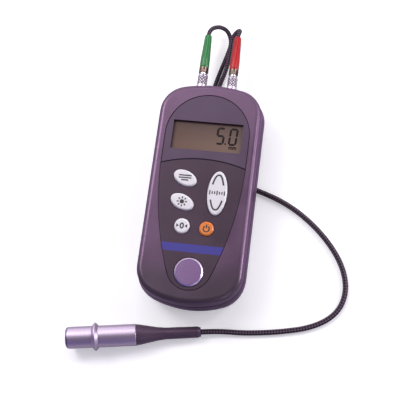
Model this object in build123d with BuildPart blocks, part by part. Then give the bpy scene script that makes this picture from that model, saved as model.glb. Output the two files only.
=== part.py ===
# Hand-held ultrasonic thickness gauge with a two-lead probe, lying on its back.
# Millimetres. +Z is the face, +Y points to the plug end, +X to the right of the display.
# The origin is on the flat of the back, under the middle of the housing.
import os
from math import atan2, cos, pi, radians, sin, sqrt, tan

from build123d import *

os.makedirs("parts", exist_ok=True)

# Housing
case_width = 72.0
case_length = 153.0
case_thickness = 30.0
top_edge_radius = 90.0
bottom_edge_radius = 62.0
top_corner_radius = 20.0
bottom_corner_radius = 21.0
wall = 2.2
widest_z = 14.0
seam_low = 19.7
seam_high = 20.3
seam_setback = 1.1
seal_inset = 1.8
seal_width = 1.3
front_draft = 4.0
rear_draft_up = 9.0
rear_draft_down = 6.0
face_round = 3.6
inner_face_round = 2.2
back_round = 3.5
inner_back_round = 1.5
step_y = 4.5
step_height = 7.0
step_slope = 5.0
step_wall_share = 1.3
half_length = case_length / 2
cut_margin = 1.0
touch = 0.01
hexagon = 6

# Face panels
recess_floor_z = 29.2
panel_top_z = 29.8
panel_gap = 0.5
panel_half_width = 28.0
panel_top_y = 66.5
panel_straight_y = 20.0
panel_foot_radius = 14.5
panel_foot_y = -51.5
divide_y = 21.5
divide_radius = 89.0
divide_gap = 0.25
ceiling_z = 27.8
boss_top_z = ceiling_z + 0.5

# Display
window_half_width = 23.45
window_low_y = 27.5
window_high_y = 47.7
glass_half_width = 24.6
glass_low_y = 26.2
glass_high_y = 49.0
glass_low_z = 25.6
light_low_z = 23.6
frame_wall = 1.6
frame_corner = 1.0
frame_lip = 2.0

# Keys
key_top_z = 31.1
key_rim = 0.8
key_gap = 0.35
flange_z = 26.6
flange_growth = 0.9
oval_half = (8.15, 4.95)
oval_tilt = -22.0
round_key_radii = {"zero": 5.0, "power": 4.7}
select_half = (6.45, 14.9)
select_gap = 0.55
select_foot_z = 25.0
pivot_z = 26.2
pivot_radius = 1.0
pivot_fit = 0.08
pivot_reach = 8.9
pivot_end_gap = 0.1
saddle_offset = 8.6
saddle_size = (1.8, 5.2)
saddle_low_z = select_foot_z - 0.6
saddle_mouth = 4.0
key_places = {
    "mode": (-10.5, 7.4),
    "lamp": (-10.4, -8.9),
    "zero": (-8.3, -25.0),
    "power": (7.8, -25.3),
    "select": (11.8, -1.0),
}
select_x, select_y = key_places["select"]

# Key mat
mat_thickness = 1.0
mat_mid_y = -7.5
mat_size = (42.0, 50.0)
mat_corner = 3.0
dome_radius = 3.6
dome_hollow_radius = 2.7
dome_slope = 18.0
dome_roof = 1.1
rocker_dome_offset = 9.5

# Zero disc
disc_y = -54.6
disc_radius = 9.25
disc_rim = 0.9
disc_top_z = 31.0
disc_floor_z = 27.0
disc_fit = 0.1
disc_stud_radius = 2.5
disc_stud_end = 0.5
stud_fit = 0.05
nut_low_z = 23.4
nut_half_flats = 4.0
pad_low_z = 25.2
pad_growth = 2.5

# Boards
board_low_z = 19.8
board_top_z = 21.4
board_half_width = 28.0
board_low_y = -42.0
board_high_y = 53.0
board_corner = 2.0
board_thickness = 1.6
pulser_low_z = 12.4
pulser_half_width = 21.6
pulser_low_y = 20.0
pulser_high_y = 58.0
coil_y = 44.0
coil_radius = 5.0
coil_bore_radius = 2.0
coil_height = 3.6
header_y = 25.0
header_size = (20.0, 2.6)
chip_y = 8.0
chip_side = 12.0
chip_height = 0.8

# Sockets and plugs
socket_x = 10.5
plug_z = 14.5
flange_y = 75.4
flange_radius = 4.4
flange_gap = 0.2
socket_face_y = 77.4
socket_radius = 3.5
socket_fit = 0.05
socket_mouth_radius = 2.6
socket_step_y = 67.0
socket_rear_y = 64.0
socket_bore_start_y = 60.0
end_wall_width = 36.0
end_wall_depth = 9.2
end_wall_inset = 1.3
end_wall_low_z = step_height + 2.0
flange_bevel = 0.4
insulator_radius = 1.6
# How far the insulator stands out behind and in front of its seat
insulator_reach = (2.0, 1.0)
contact_radius = 0.5
contact_rear_y = 54.0
contact_front_y = 71.0
socket_nut_y = 71.9
socket_nut_half_flats = 4.5
socket_nut_thickness = 1.8
body_tip_y = 68.4
body_radius = 2.5
body_bore_radius = 2.0
body_floor_y = 84.0
body_rear_y = 92.0
plug_insulator_y = 72.5
sleeve_start_y = 77.8
sleeve_end_y = 87.6
sleeve_bore_radius = 2.58
sleeve_radius = 3.4
sleeve_ridge_radius = 3.6
# Distances from the sleeve's start: bevel, end of the ridge, start of the plain tube
sleeve_ridge_y = (0.3, 1.6, 1.8)
# Length and depth of the slope at the sleeve's rear end
sleeve_bevel = (1.0, 0.3)
sleeve_flutes = 12
flute_radius = 0.3
flute_end_gap = 3.0
collar_start_y = 89.0
collar_radius = 3.3
collar_bore_radius = 1.0
collar_half_flats = 2.95
collar_flats_length = 2.2
boot_start_y = 93.0
# Distance from the boot's start, and radius there
boot_shape = ((0.0, 3.1), (1.0, 3.3), (6.5, 3.25), (13.0, 2.95), (20.5, 2.6), (24.2, 2.4), (24.9, 2.1))
boot_end_y = boot_start_y + boot_shape[-1][0]
lead_diameter = 3.1

# Batteries and their door
cell_radius = 7.2
cell_z = 10.0
cell_x = 7.6
cell_length = 49.2
nub_radius = 2.75
nub_length = 1.3
bay_half_width = 16.4
bay_low_y = -66.0
bay_high_y = -10.6
bay_roof_z = 17.5
bay_straight_z = 12.0
bay_middle_half = 3.5
bay_side_wall = 4.0
bay_low_wall = 4.4
bay_high_wall = 2.0
bay_roof = 1.3
strip_thickness = 0.5
plate_half = 5.0
stud_depth = 1.2
stud_radius = 2.0
spring_depth = 3.7
spring_half_width = 2.5
spring_sheet = 0.45
spring_foot = 0.7
spring_outer_rise = 0.6
spring_inner_rise = (-0.4, 0.3)
# The leaf's free end: near and far distance from the plate, and its rise
spring_tail = (0.5, 0.9, 4.0)
door_half_width = 18.2
door_low_y = -68.4
door_skin_z = 0.15
door_inner_z = 2.35
door_corner = 2.0
door_gap = 0.4
door_square_end = 6.0
grip_from_edge = 9.0
grip_pitch = 2.4
grip_count = 4
grip_slot = (18.0, 1.2)
grip_depth = 0.6
hinge_y = -6.4
hinge_z = 2.9
hinge_pin_radius = 1.2
hinge_pin_fit = 0.06
hinge_pin_length = 2.0
hinge_pin_end_gap = 0.3
hinge_clearance = 3.1
hinge_block_shift = 0.6
hinge_block_side = 4.0
hinge_block_length = 9.6
hinge_block_height = 8.2

# Probe: profiles are pairs of distance and radius
probe_front = Vector(-77.0, -103.4, 10.7)
probe_tail = Vector(9.6, -88.5, 3.9)
probe_radius = 7.1
probe_bore_radius = 5.95
probe_ridge_radius = 9.1
probe_ridge_at = 19.0
probe_metal_length = 46.0
ridge_foot = 2.2
ridge_crest = 0.4
probe_nose = ((0.0, 6.3), (0.5, 6.8), (1.6, probe_radius))
probe_rear_bevel = 0.3
probe_boot_shape = ((0.0, 6.9), (3.0, 6.5), (8.0, 5.5), (14.0, 4.4), (19.0, 3.85))
probe_boot_end = ((2.0, 3.7), (0.0, 3.0))
delay_proud = 0.2
delay_end = 10.0
crystal_end = 10.6
barrier_thickness = 0.7
backing_end = 24.0
boot_plug_start = 36.0
trunk_diameter = 3.6

# Screws
case_screw_places = [(-26.6, 58.0), (26.6, 58.0), (-26.8, -55.8), (26.8, -55.8)]
case_screw_seat_z = 13.0
case_screw_tip_z = 26.4
case_boss_radius = 3.2
case_pilot_radius = 1.25
case_pilot_spare = 0.4
case_shank_radius = 1.22
case_hole_radius = 1.35
case_head_radius = 2.6
case_head_height = 2.0
well_radius = 4.0
well_bore_radius = 2.9
well_low_z = 1.0
cross_recess = (3.2, 0.7)
cross_depth = 1.2
board_screw_places = [(-25.3, 20.0), (25.3, 20.0), (-25.3, -38.5), (25.3, -38.5)]
pulser_screw_places = [(-18.6, 23.5), (18.6, 23.5), (-18.6, 54.5), (18.6, 54.5)]
board_boss_radius = 2.4
pulser_boss_radius = 2.3
stand_low_z = step_height + 1.5
board_pilot_radius = 1.0
board_pilot_depth = 3.8
pulser_pilot_depth = 3.2
board_hole_radius = 1.15
board_head_radius = 1.9
board_head_height = 1.3
board_shank_radius = 0.95
board_shank_length = 4.4

# Leads, cable and their splitter
bend_share = 0.45
lead_entry_x = (-5.2, -1.5)
lead_low_z = 1.6
trunk_low_z = 1.8
trunk_straight = 12.0
splitter_x = sum(lead_entry_x) / 2
splitter_y = (62.0, 55.0, 48.0)
splitter_widths = (7.4, 7.0, 4.4)
splitter_z = 2.2
splitter_height = 4.2
splitter_round = 1.8


def save(sub_part, name):
    sub_part.part.label = name
    export_step(sub_part.part, f"parts/{name}.step")


def case_outline(inset=0.0):
    """Plan of the housing: straight sides, bowed ends and round corners."""
    half = case_width / 2
    high = half_length - (top_edge_radius - sqrt(top_edge_radius**2 - half**2))
    low = -half_length + (bottom_edge_radius - sqrt(bottom_edge_radius**2 - half**2))
    with BuildSketch(mode=Mode.PRIVATE) as plan:
        with BuildLine():
            Line((half, low), (half, high))
            ThreePointArc((half, high), (0, half_length), (-half, high))
            Line((-half, high), (-half, low))
            ThreePointArc((-half, low), (0, -half_length), (half, low))
        make_face()
        fillet(plan.vertices().group_by(Axis.Y)[-1], top_corner_radius)
        fillet(plan.vertices().group_by(Axis.Y)[0], bottom_corner_radius)
        if inset:
            offset(amount=-inset, mode=Mode.REPLACE)
    return plan.sketch


def front_volume(inset=0.0):
    """Front half of the housing, or its hollow when inset by the wall."""
    base = seam_high - cut_margin if inset else seam_high
    with BuildPart(mode=Mode.PRIVATE) as body:
        with BuildSketch(Plane.XY.offset(base)):
            add(case_outline(seam_setback + inset))
        extrude(amount=case_thickness - inset - base, taper=front_draft)
        fillet(body.faces().sort_by(Axis.Z)[-1].edges(), inner_face_round if inset else face_round)
    return body.part


def rear_volume(inset=0.0):
    """Rear half of the housing, stepped up behind the display, or its hollow."""
    top = seam_low + cut_margin if inset else seam_low
    low_y = step_y - inset * step_wall_share
    high_z = step_height + inset
    with BuildPart(mode=Mode.PRIVATE) as body:
        with BuildSketch(Plane.XY.offset(widest_z)):
            add(case_outline(inset))
        extrude(amount=top - widest_z, taper=rear_draft_up)
        with BuildSketch(Plane.XY.offset(widest_z)):
            add(case_outline(inset))
        extrude(amount=inset - widest_z, taper=rear_draft_down)
        with BuildSketch(Plane.YZ):
            with BuildLine():
                Polyline((low_y, 0), (low_y + step_slope, high_z), (case_length, high_z),
                         (case_length, -cut_margin), (low_y, -cut_margin), close=True)
            make_face()
        extrude(amount=case_width, both=True, mode=Mode.SUBTRACT)
        under = body.edges().filter_by(lambda e: e.bounding_box().max.Z < high_z + touch)
        fillet(under, inner_back_round if inset else back_round)
    return body.part


def panel_outline(growth=0.0):
    """Plan of the two face panels together: an egg that narrows towards the disc."""
    rise = panel_straight_y - panel_foot_y
    side_radius = ((rise**2 + panel_half_width**2 - panel_foot_radius**2)
                   / (2 * (panel_half_width - panel_foot_radius)))
    lean = atan2(rise, side_radius - panel_half_width)
    touch_x = panel_foot_radius * cos(lean)
    touch_y = panel_foot_y - panel_foot_radius * sin(lean)
    foot = (0, panel_foot_y - panel_foot_radius)
    crown_y = panel_top_y - panel_half_width
    with BuildSketch(mode=Mode.PRIVATE) as egg:
        with BuildLine():
            ThreePointArc((panel_half_width, crown_y), (0, panel_top_y), (-panel_half_width, crown_y))
            for side in (-1, 1):
                edge_x = side * panel_half_width
                Line((edge_x, crown_y), (edge_x, panel_straight_y))
                TangentArc((edge_x, panel_straight_y), (side * touch_x, touch_y), tangent=(0, -1))
            ThreePointArc((touch_x, touch_y), foot, (-touch_x, touch_y))
        make_face()
        if growth:
            offset(amount=growth, mode=Mode.REPLACE)
    return egg.sketch


def key_outline(name, growth=0.0):
    """Plan of one key, or of the hole round it."""
    with BuildSketch(mode=Mode.PRIVATE) as plan:
        with Locations(key_places[name]):
            if name in round_key_radii:
                Circle(round_key_radii[name] + growth)
            elif name == "select":
                Ellipse(select_half[0] + growth, select_half[1] + growth)
            else:
                Ellipse(oval_half[0] + growth, oval_half[1] + growth, rotation=oval_tilt)
    return plan.sketch


def hole_growth(name):
    return select_gap if name == "select" else key_gap


def facing_down(y):
    """Plane across the housing at one place along it, seen from the foot end."""
    return Plane.XZ.offset(-y)


def lathe_plane(x):
    """Plane of a half profile that is turned round a socket's axis."""
    return Plane((x, 0, plug_z), x_dir=(0, 1, 0), z_dir=(1, 0, 0))


def turned(x, *profile):
    """A piece turned round a socket's axis, from its half profile of (y, radius)."""
    with BuildPart(mode=Mode.PRIVATE) as piece:
        with BuildSketch(lathe_plane(x)):
            with BuildLine():
                Polyline(*profile, close=True)
            make_face()
        revolve(axis=Axis((x, 0, plug_z), (0, 1, 0)))
    return piece.part


# Front cover: a shallow moulded shell with a recess for the face panels, the display
# opening, the key holes, a padded pocket for the disc, and bosses for the screws
with BuildPart() as front_cover:
    add(front_volume())
    add(front_volume(wall), mode=Mode.SUBTRACT)
    with BuildSketch(Plane.XY.offset(recess_floor_z)):
        add(panel_outline(panel_gap))
    extrude(amount=case_thickness - recess_floor_z + cut_margin, mode=Mode.SUBTRACT)
    with BuildSketch(Plane.XY.offset(pad_low_z)):
        with Locations((0, disc_y)):
            Circle(disc_radius + pad_growth)
    extrude(amount=boss_top_z - pad_low_z)
    with BuildSketch(Plane.XY.offset(board_top_z)):
        with Locations(*board_screw_places):
            Circle(board_boss_radius)
    extrude(amount=boss_top_z - board_top_z)
    with BuildSketch(Plane.XY.offset(seam_high)):
        with Locations(*case_screw_places):
            Circle(case_boss_radius)
    extrude(amount=boss_top_z - seam_high)
    with BuildSketch(Plane.XY.offset(saddle_low_z)):
        for side in (-1, 1):
            with Locations((select_x + side * saddle_offset, select_y)):
                Rectangle(*saddle_size)
    extrude(amount=boss_top_z - saddle_low_z)
    with BuildSketch(Plane.XY.offset(disc_floor_z)):
        with Locations((0, disc_y)):
            Circle(disc_radius + disc_fit)
    extrude(amount=case_thickness - disc_floor_z + cut_margin, mode=Mode.SUBTRACT)
    with BuildSketch(Plane.XY.offset(pad_low_z - cut_margin)):
        with Locations((0, disc_y)):
            Circle(disc_stud_radius + stud_fit)
    extrude(amount=disc_floor_z - pad_low_z + 2 * cut_margin, mode=Mode.SUBTRACT)
    with BuildSketch(Plane.XY.offset(ceiling_z - cut_margin)):
        with Locations((0, (window_low_y + window_high_y) / 2)):
            Rectangle(2 * window_half_width, window_high_y - window_low_y)
        for key in key_places:
            add(key_outline(key, hole_growth(key)))
    extrude(amount=case_thickness - ceiling_z + 2 * cut_margin, mode=Mode.SUBTRACT)
    with BuildSketch(Plane.XY.offset(seam_high - cut_margin)):
        with Locations(*case_screw_places):
            Circle(case_pilot_radius)
    extrude(amount=case_screw_tip_z + case_pilot_spare - seam_high + cut_margin, mode=Mode.SUBTRACT)
    with BuildSketch(Plane.XY.offset(board_top_z - cut_margin)):
        with Locations(*board_screw_places):
            Circle(board_pilot_radius)
    extrude(amount=board_pilot_depth + cut_margin, mode=Mode.SUBTRACT)
    with BuildSketch(Plane.YZ.offset(select_x)):
        with Locations((select_y, pivot_z)):
            Circle(pivot_radius + pivot_fit)
        with Locations((select_y, pivot_z - saddle_mouth / 2)):
            Rectangle(2 * (pivot_radius + pivot_fit), saddle_mouth)
    extrude(amount=pivot_reach + pivot_end_gap, both=True, mode=Mode.SUBTRACT)
save(front_cover, "front_cover")

# Rear cover: a deeper shell, stepped up behind the display so that the cable can lie
# under it, with the battery bay, the hinge pocket of its door, the screw wells, the
# stand-offs of the pulser board and the thick end wall that holds the two sockets
with BuildPart() as rear_cover:
    add(rear_volume())
    add(rear_volume(wall), mode=Mode.SUBTRACT)
    with BuildSketch():
        with Locations((0, (bay_low_y - bay_low_wall + bay_high_y + bay_high_wall) / 2)):
            Rectangle(2 * (bay_half_width + bay_side_wall),
                      bay_high_y + bay_high_wall - bay_low_y + bay_low_wall)
    extrude(amount=bay_roof_z + bay_roof)
    with BuildSketch():
        with Locations((0, hinge_y + hinge_block_shift)):
            Rectangle(2 * (door_half_width + hinge_block_side), hinge_block_length)
    extrude(amount=hinge_block_height)
    with BuildSketch(Plane.XY.offset(well_low_z)):
        with Locations(*case_screw_places[2:]):
            Circle(well_radius)
    extrude(amount=seam_low - well_low_z)
    with BuildSketch(Plane.XY.offset(stand_low_z)):
        with Locations(*case_screw_places[:2]):
            Circle(well_radius)
    extrude(amount=seam_low - stand_low_z)
    with BuildSketch(Plane.XY.offset(stand_low_z)):
        with Locations(*pulser_screw_places):
            Circle(pulser_boss_radius)
    extrude(amount=pulser_low_z - stand_low_z)
    with BuildSketch(Plane.XY.offset(end_wall_low_z)):
        add(case_outline(end_wall_inset))
        with Locations((0, half_length)):
            Rectangle(end_wall_width, end_wall_depth, mode=Mode.INTERSECT)
    extrude(amount=seam_low - end_wall_low_z)
    with BuildSketch(facing_down(socket_bore_start_y)):
        for side in (-1, 1):
            with Locations((side * socket_x, plug_z)):
                Circle(socket_radius + socket_fit)
    extrude(amount=socket_bore_start_y - half_length - cut_margin, mode=Mode.SUBTRACT)
    with BuildSketch(facing_down(flange_y)):
        for side in (-1, 1):
            with Locations((side * socket_x, plug_z)):
                Circle(flange_radius + flange_gap)
    extrude(amount=flange_y - half_length - cut_margin, mode=Mode.SUBTRACT)
    with BuildSketch(Plane.XY.offset(-cut_margin)):
        with Locations((0, (door_low_y - door_gap + hinge_y) / 2)):
            RectangleRounded(2 * (door_half_width + door_gap), hinge_y - door_low_y + door_gap,
                             door_corner + door_gap)
        with Locations((0, hinge_y - door_square_end / 2)):
            Rectangle(2 * (door_half_width + door_gap), door_square_end)
    extrude(amount=door_inner_z + cut_margin, mode=Mode.SUBTRACT)
    with BuildSketch(Plane.YZ):
        with Locations((hinge_y, hinge_z)):
            Circle(hinge_clearance)
        with Locations((hinge_y, (hinge_z - cut_margin) / 2)):
            Rectangle(2 * hinge_clearance, hinge_z + cut_margin)
    extrude(amount=door_half_width + door_gap, both=True, mode=Mode.SUBTRACT)
    with BuildSketch(Plane.YZ):
        with Locations((hinge_y, hinge_z)):
            Circle(hinge_pin_radius + hinge_pin_fit)
    extrude(amount=door_half_width + hinge_pin_length + hinge_pin_end_gap, both=True,
            mode=Mode.SUBTRACT)
    with BuildSketch(facing_down(bay_high_y)):
        with Locations((0, bay_straight_z / 2 - cut_margin)):
            Rectangle(2 * bay_half_width, bay_straight_z + 2 * cut_margin)
        for side in (-1, 1):
            with Locations((side * cell_x, cell_z)):
                Circle(bay_roof_z - cell_z)
        with Locations((0, cell_z)):
            Rectangle(2 * cell_x, 2 * bay_middle_half)
    extrude(amount=bay_high_y - bay_low_y, mode=Mode.SUBTRACT)
    with BuildSketch(Plane.XY.offset(-cut_margin)):
        with Locations(*case_screw_places):
            Circle(well_bore_radius)
    extrude(amount=case_screw_seat_z + cut_margin, mode=Mode.SUBTRACT)
    with BuildSketch(Plane.XY.offset(case_screw_seat_z - cut_margin)):
        with Locations(*case_screw_places):
            Circle(case_hole_radius)
    extrude(amount=seam_low - case_screw_seat_z + 2 * cut_margin, mode=Mode.SUBTRACT)
    with BuildSketch(Plane.XY.offset(pulser_low_z)):
        with Locations(*pulser_screw_places):
            Circle(board_pilot_radius)
    extrude(amount=-pulser_pilot_depth, mode=Mode.SUBTRACT)
save(rear_cover, "rear_cover")

# Seal: a flat rubber ring in the seam, set back from both covers
with BuildPart() as case_gasket:
    with BuildSketch(Plane.XY.offset(seam_low)):
        add(case_outline(seal_inset))
        add(case_outline(seal_inset + seal_width), mode=Mode.SUBTRACT)
    extrude(amount=seam_high - seam_low)
save(case_gasket, "case_gasket")

# Case screws: pan heads deep in the wells of the rear cover, driven into the front cover
with BuildPart() as case_screws:
    with BuildSketch(Plane.XY.offset(case_screw_seat_z - case_head_height)):
        with Locations(*case_screw_places):
            Circle(case_head_radius)
    extrude(amount=case_head_height)
    with BuildSketch(Plane.XY.offset(case_screw_seat_z)):
        with Locations(*case_screw_places):
            Circle(case_shank_radius)
    extrude(amount=case_screw_tip_z - case_screw_seat_z)
    with BuildSketch(Plane.XY.offset(case_screw_seat_z - case_head_height)):
        with Locations(*case_screw_places):
            Rectangle(cross_recess[0], cross_recess[1])
            Rectangle(cross_recess[1], cross_recess[0])
    extrude(amount=cross_depth, mode=Mode.SUBTRACT)
save(case_screws, "case_screws")

# Battery door: a plate with a round edge that turns on two pins, and finger grooves
with BuildPart() as battery_door:
    door_length = hinge_y - door_low_y
    with BuildSketch(Plane.XY.offset(door_skin_z)):
        with Locations((0, door_low_y + door_length / 2)):
            RectangleRounded(2 * door_half_width, door_length, door_corner)
        with Locations((0, hinge_y - door_square_end / 2)):
            Rectangle(2 * door_half_width, door_square_end)
    extrude(amount=door_inner_z - door_skin_z)
    with BuildSketch(Plane.YZ):
        with Locations((hinge_y, hinge_z)):
            Circle(hinge_z - door_skin_z)
    extrude(amount=door_half_width, both=True)
    with BuildSketch(Plane.YZ):
        with Locations((hinge_y, hinge_z)):
            Circle(hinge_pin_radius)
    extrude(amount=door_half_width + hinge_pin_length, both=True)
    with BuildSketch(Plane.XY.offset(door_skin_z)):
        with Locations((0, door_low_y + grip_from_edge)):
            with GridLocations(1, grip_pitch, 1, grip_count):
                SlotOverall(*grip_slot)
    extrude(amount=grip_depth, mode=Mode.SUBTRACT)
save(battery_door, "battery_door")

# Face panels: two thin sheets in one recess, meeting along a shallow arc
divide_centre_y = divide_y - divide_radius
with BuildPart() as display_panel:
    with BuildSketch(Plane.XY.offset(recess_floor_z)):
        add(panel_outline())
        with Locations((0, divide_centre_y)):
            Circle(divide_radius + divide_gap, mode=Mode.SUBTRACT)
        with Locations((0, (window_low_y + window_high_y) / 2)):
            Rectangle(2 * window_half_width, window_high_y - window_low_y, mode=Mode.SUBTRACT)
    extrude(amount=panel_top_z - recess_floor_z)
save(display_panel, "display_panel")

with BuildPart() as keypad_panel:
    with BuildSketch(Plane.XY.offset(recess_floor_z)):
        add(panel_outline())
        with Locations((0, divide_centre_y)):
            Circle(divide_radius - divide_gap, mode=Mode.INTERSECT)
        with Locations((0, disc_y)):
            Circle(disc_radius + panel_gap, mode=Mode.SUBTRACT)
        for key in key_places:
            add(key_outline(key, hole_growth(key)), mode=Mode.SUBTRACT)
    extrude(amount=panel_top_z - recess_floor_z)
save(keypad_panel, "keypad_panel")

# Display: a frame on the board holds the light plate and the glass cell under the opening
glass_mid_y = (glass_low_y + glass_high_y) / 2
glass_span_x = 2 * glass_half_width
glass_span_y = glass_high_y - glass_low_y
with BuildPart() as lcd_frame:
    with BuildSketch(Plane.XY.offset(board_top_z)):
        with Locations((0, glass_mid_y)):
            RectangleRounded(glass_span_x + 2 * frame_wall, glass_span_y + 2 * frame_wall, frame_corner)
            Rectangle(glass_span_x - 2 * frame_lip, glass_span_y - 2 * frame_lip, mode=Mode.SUBTRACT)
    extrude(amount=light_low_z - board_top_z)
    with BuildSketch(Plane.XY.offset(light_low_z)):
        with Locations((0, glass_mid_y)):
            RectangleRounded(glass_span_x + 2 * frame_wall, glass_span_y + 2 * frame_wall, frame_corner)
            Rectangle(glass_span_x, glass_span_y, mode=Mode.SUBTRACT)
    extrude(amount=ceiling_z - light_low_z)
save(lcd_frame, "lcd_frame")

with BuildPart() as backlight_panel:
    with BuildSketch(Plane.XY.offset(light_low_z)):
        with Locations((0, glass_mid_y)):
            Rectangle(glass_span_x, glass_span_y)
    extrude(amount=glass_low_z - light_low_z)
save(backlight_panel, "backlight_panel")

with BuildPart() as lcd_glass:
    with BuildSketch(Plane.XY.offset(glass_low_z)):
        with Locations((0, glass_mid_y)):
            Rectangle(glass_span_x, glass_span_y)
    extrude(amount=ceiling_z - glass_low_z)
save(lcd_glass, "lcd_glass")

# Push keys: a cap with a sloped rim over a wider flange that rests under the cover
for name in ("mode", "lamp", "zero", "power"):
    with BuildPart() as key_cap:
        with BuildSketch(Plane.XY.offset(flange_z)):
            add(key_outline(name, flange_growth))
        extrude(amount=ceiling_z - flange_z)
        with BuildSketch(Plane.XY.offset(ceiling_z)):
            add(key_outline(name))
        extrude(amount=key_top_z - ceiling_z)
        chamfer(key_cap.faces().sort_by(Axis.Z)[-1].edges(), key_rim)
    save(key_cap, f"key_{name}")

# Rocker key: a deeper cap that tips on two pins at its middle
with BuildPart() as key_select:
    with BuildSketch(Plane.XY.offset(select_foot_z)):
        add(key_outline("select"))
    extrude(amount=key_top_z - select_foot_z)
    chamfer(key_select.faces().sort_by(Axis.Z)[-1].edges(), key_rim)
    with BuildSketch(Plane.YZ.offset(select_x)):
        with Locations((select_y, pivot_z)):
            Circle(pivot_radius)
    extrude(amount=pivot_reach, both=True)
save(key_select, "key_select")

# Key mat: one silicone sheet with a hollow dome under each key, two under the rocker
domes = [(x, y, flange_z) for name, (x, y) in key_places.items() if name != "select"]
domes += [(select_x, select_y + side * rocker_dome_offset, select_foot_z) for side in (-1, 1)]
mat_top_z = board_top_z + mat_thickness
with BuildPart() as keypad_mat:
    with BuildSketch(Plane.XY.offset(board_top_z)):
        with Locations((0, mat_mid_y)):
            RectangleRounded(mat_size[0], mat_size[1], mat_corner)
    extrude(amount=mat_thickness)
    for x, y, top_z in domes:
        with BuildSketch(Plane.XY.offset(mat_top_z)):
            with Locations((x, y)):
                Circle(dome_radius)
        extrude(amount=top_z - mat_top_z, taper=dome_slope)
    for x, y, top_z in domes:
        with BuildSketch(Plane.XY.offset(board_top_z)):
            with Locations((x, y)):
                Circle(dome_hollow_radius)
        extrude(amount=top_z - dome_roof - board_top_z, taper=dome_slope, mode=Mode.SUBTRACT)
save(keypad_mat, "keypad_mat")

# Zero disc: a ground steel disc of known thickness, with a stud through the cover
with BuildPart() as zero_disc:
    with BuildSketch(Plane.XY.offset(disc_floor_z)):
        with Locations((0, disc_y)):
            Circle(disc_radius)
    extrude(amount=disc_top_z - disc_floor_z)
    chamfer(zero_disc.faces().sort_by(Axis.Z)[-1].edges(), disc_rim)
    with BuildSketch(Plane.XY.offset(nut_low_z - disc_stud_end)):
        with Locations((0, disc_y)):
            Circle(disc_stud_radius)
    extrude(amount=disc_floor_z - nut_low_z + disc_stud_end)
save(zero_disc, "zero_disc")

with BuildPart() as disc_nut:
    with BuildSketch(Plane.XY.offset(nut_low_z)):
        with Locations((0, disc_y)):
            RegularPolygon(nut_half_flats, hexagon, major_radius=False)
            Circle(disc_stud_radius, mode=Mode.SUBTRACT)
    extrude(amount=pad_low_z - nut_low_z)
save(disc_nut, "disc_nut")

# Boards: the main board under the display and keys, the pulser board behind the sockets
with BuildPart() as main_board:
    with BuildSketch(Plane.XY.offset(board_low_z)):
        with Locations((0, (board_low_y + board_high_y) / 2)):
            RectangleRounded(2 * board_half_width, board_high_y - board_low_y, board_corner)
        with Locations(*board_screw_places):
            Circle(board_hole_radius, mode=Mode.SUBTRACT)
    extrude(amount=board_top_z - board_low_z)
save(main_board, "main_board")

with BuildPart() as pulser_board:
    with BuildSketch(Plane.XY.offset(pulser_low_z)):
        with Locations((0, (pulser_low_y + pulser_high_y) / 2)):
            RectangleRounded(2 * pulser_half_width, pulser_high_y - pulser_low_y, board_corner)
        with Locations(*pulser_screw_places):
            Circle(board_hole_radius, mode=Mode.SUBTRACT)
    extrude(amount=board_thickness)
save(pulser_board, "pulser_board")

pulser_top_z = pulser_low_z + board_thickness
with BuildPart() as pulse_coil:
    with BuildSketch(Plane.XY.offset(pulser_top_z)):
        with Locations((0, coil_y)):
            Circle(coil_radius)
            Circle(coil_bore_radius, mode=Mode.SUBTRACT)
    extrude(amount=coil_height)
save(pulse_coil, "pulse_coil")

with BuildPart() as board_header:
    with BuildSketch(Plane.XY.offset(pulser_top_z)):
        with Locations((0, header_y)):
            Rectangle(*header_size)
    extrude(amount=board_low_z - pulser_top_z)
save(board_header, "board_header")

with BuildPart() as processor_chip:
    with BuildSketch(Plane.XY.offset(board_low_z)):
        with Locations((0, chip_y)):
            Rectangle(chip_side, chip_side)
    extrude(amount=-chip_height)
save(processor_chip, "processor_chip")

# Board screws: four up into the front cover, four down into the rear cover
with BuildPart() as board_screws:
    for places, seat_z, up in ((board_screw_places, board_low_z, 1),
                               (pulser_screw_places, pulser_top_z, -1)):
        with BuildSketch(Plane.XY.offset(seat_z)):
            with Locations(*places):
                Circle(board_head_radius)
        extrude(amount=-up * board_head_height)
        with BuildSketch(Plane.XY.offset(seat_z)):
            with Locations(*places):
                Circle(board_shank_radius)
        extrude(amount=up * board_shank_length)
save(board_screws, "board_screws")

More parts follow.
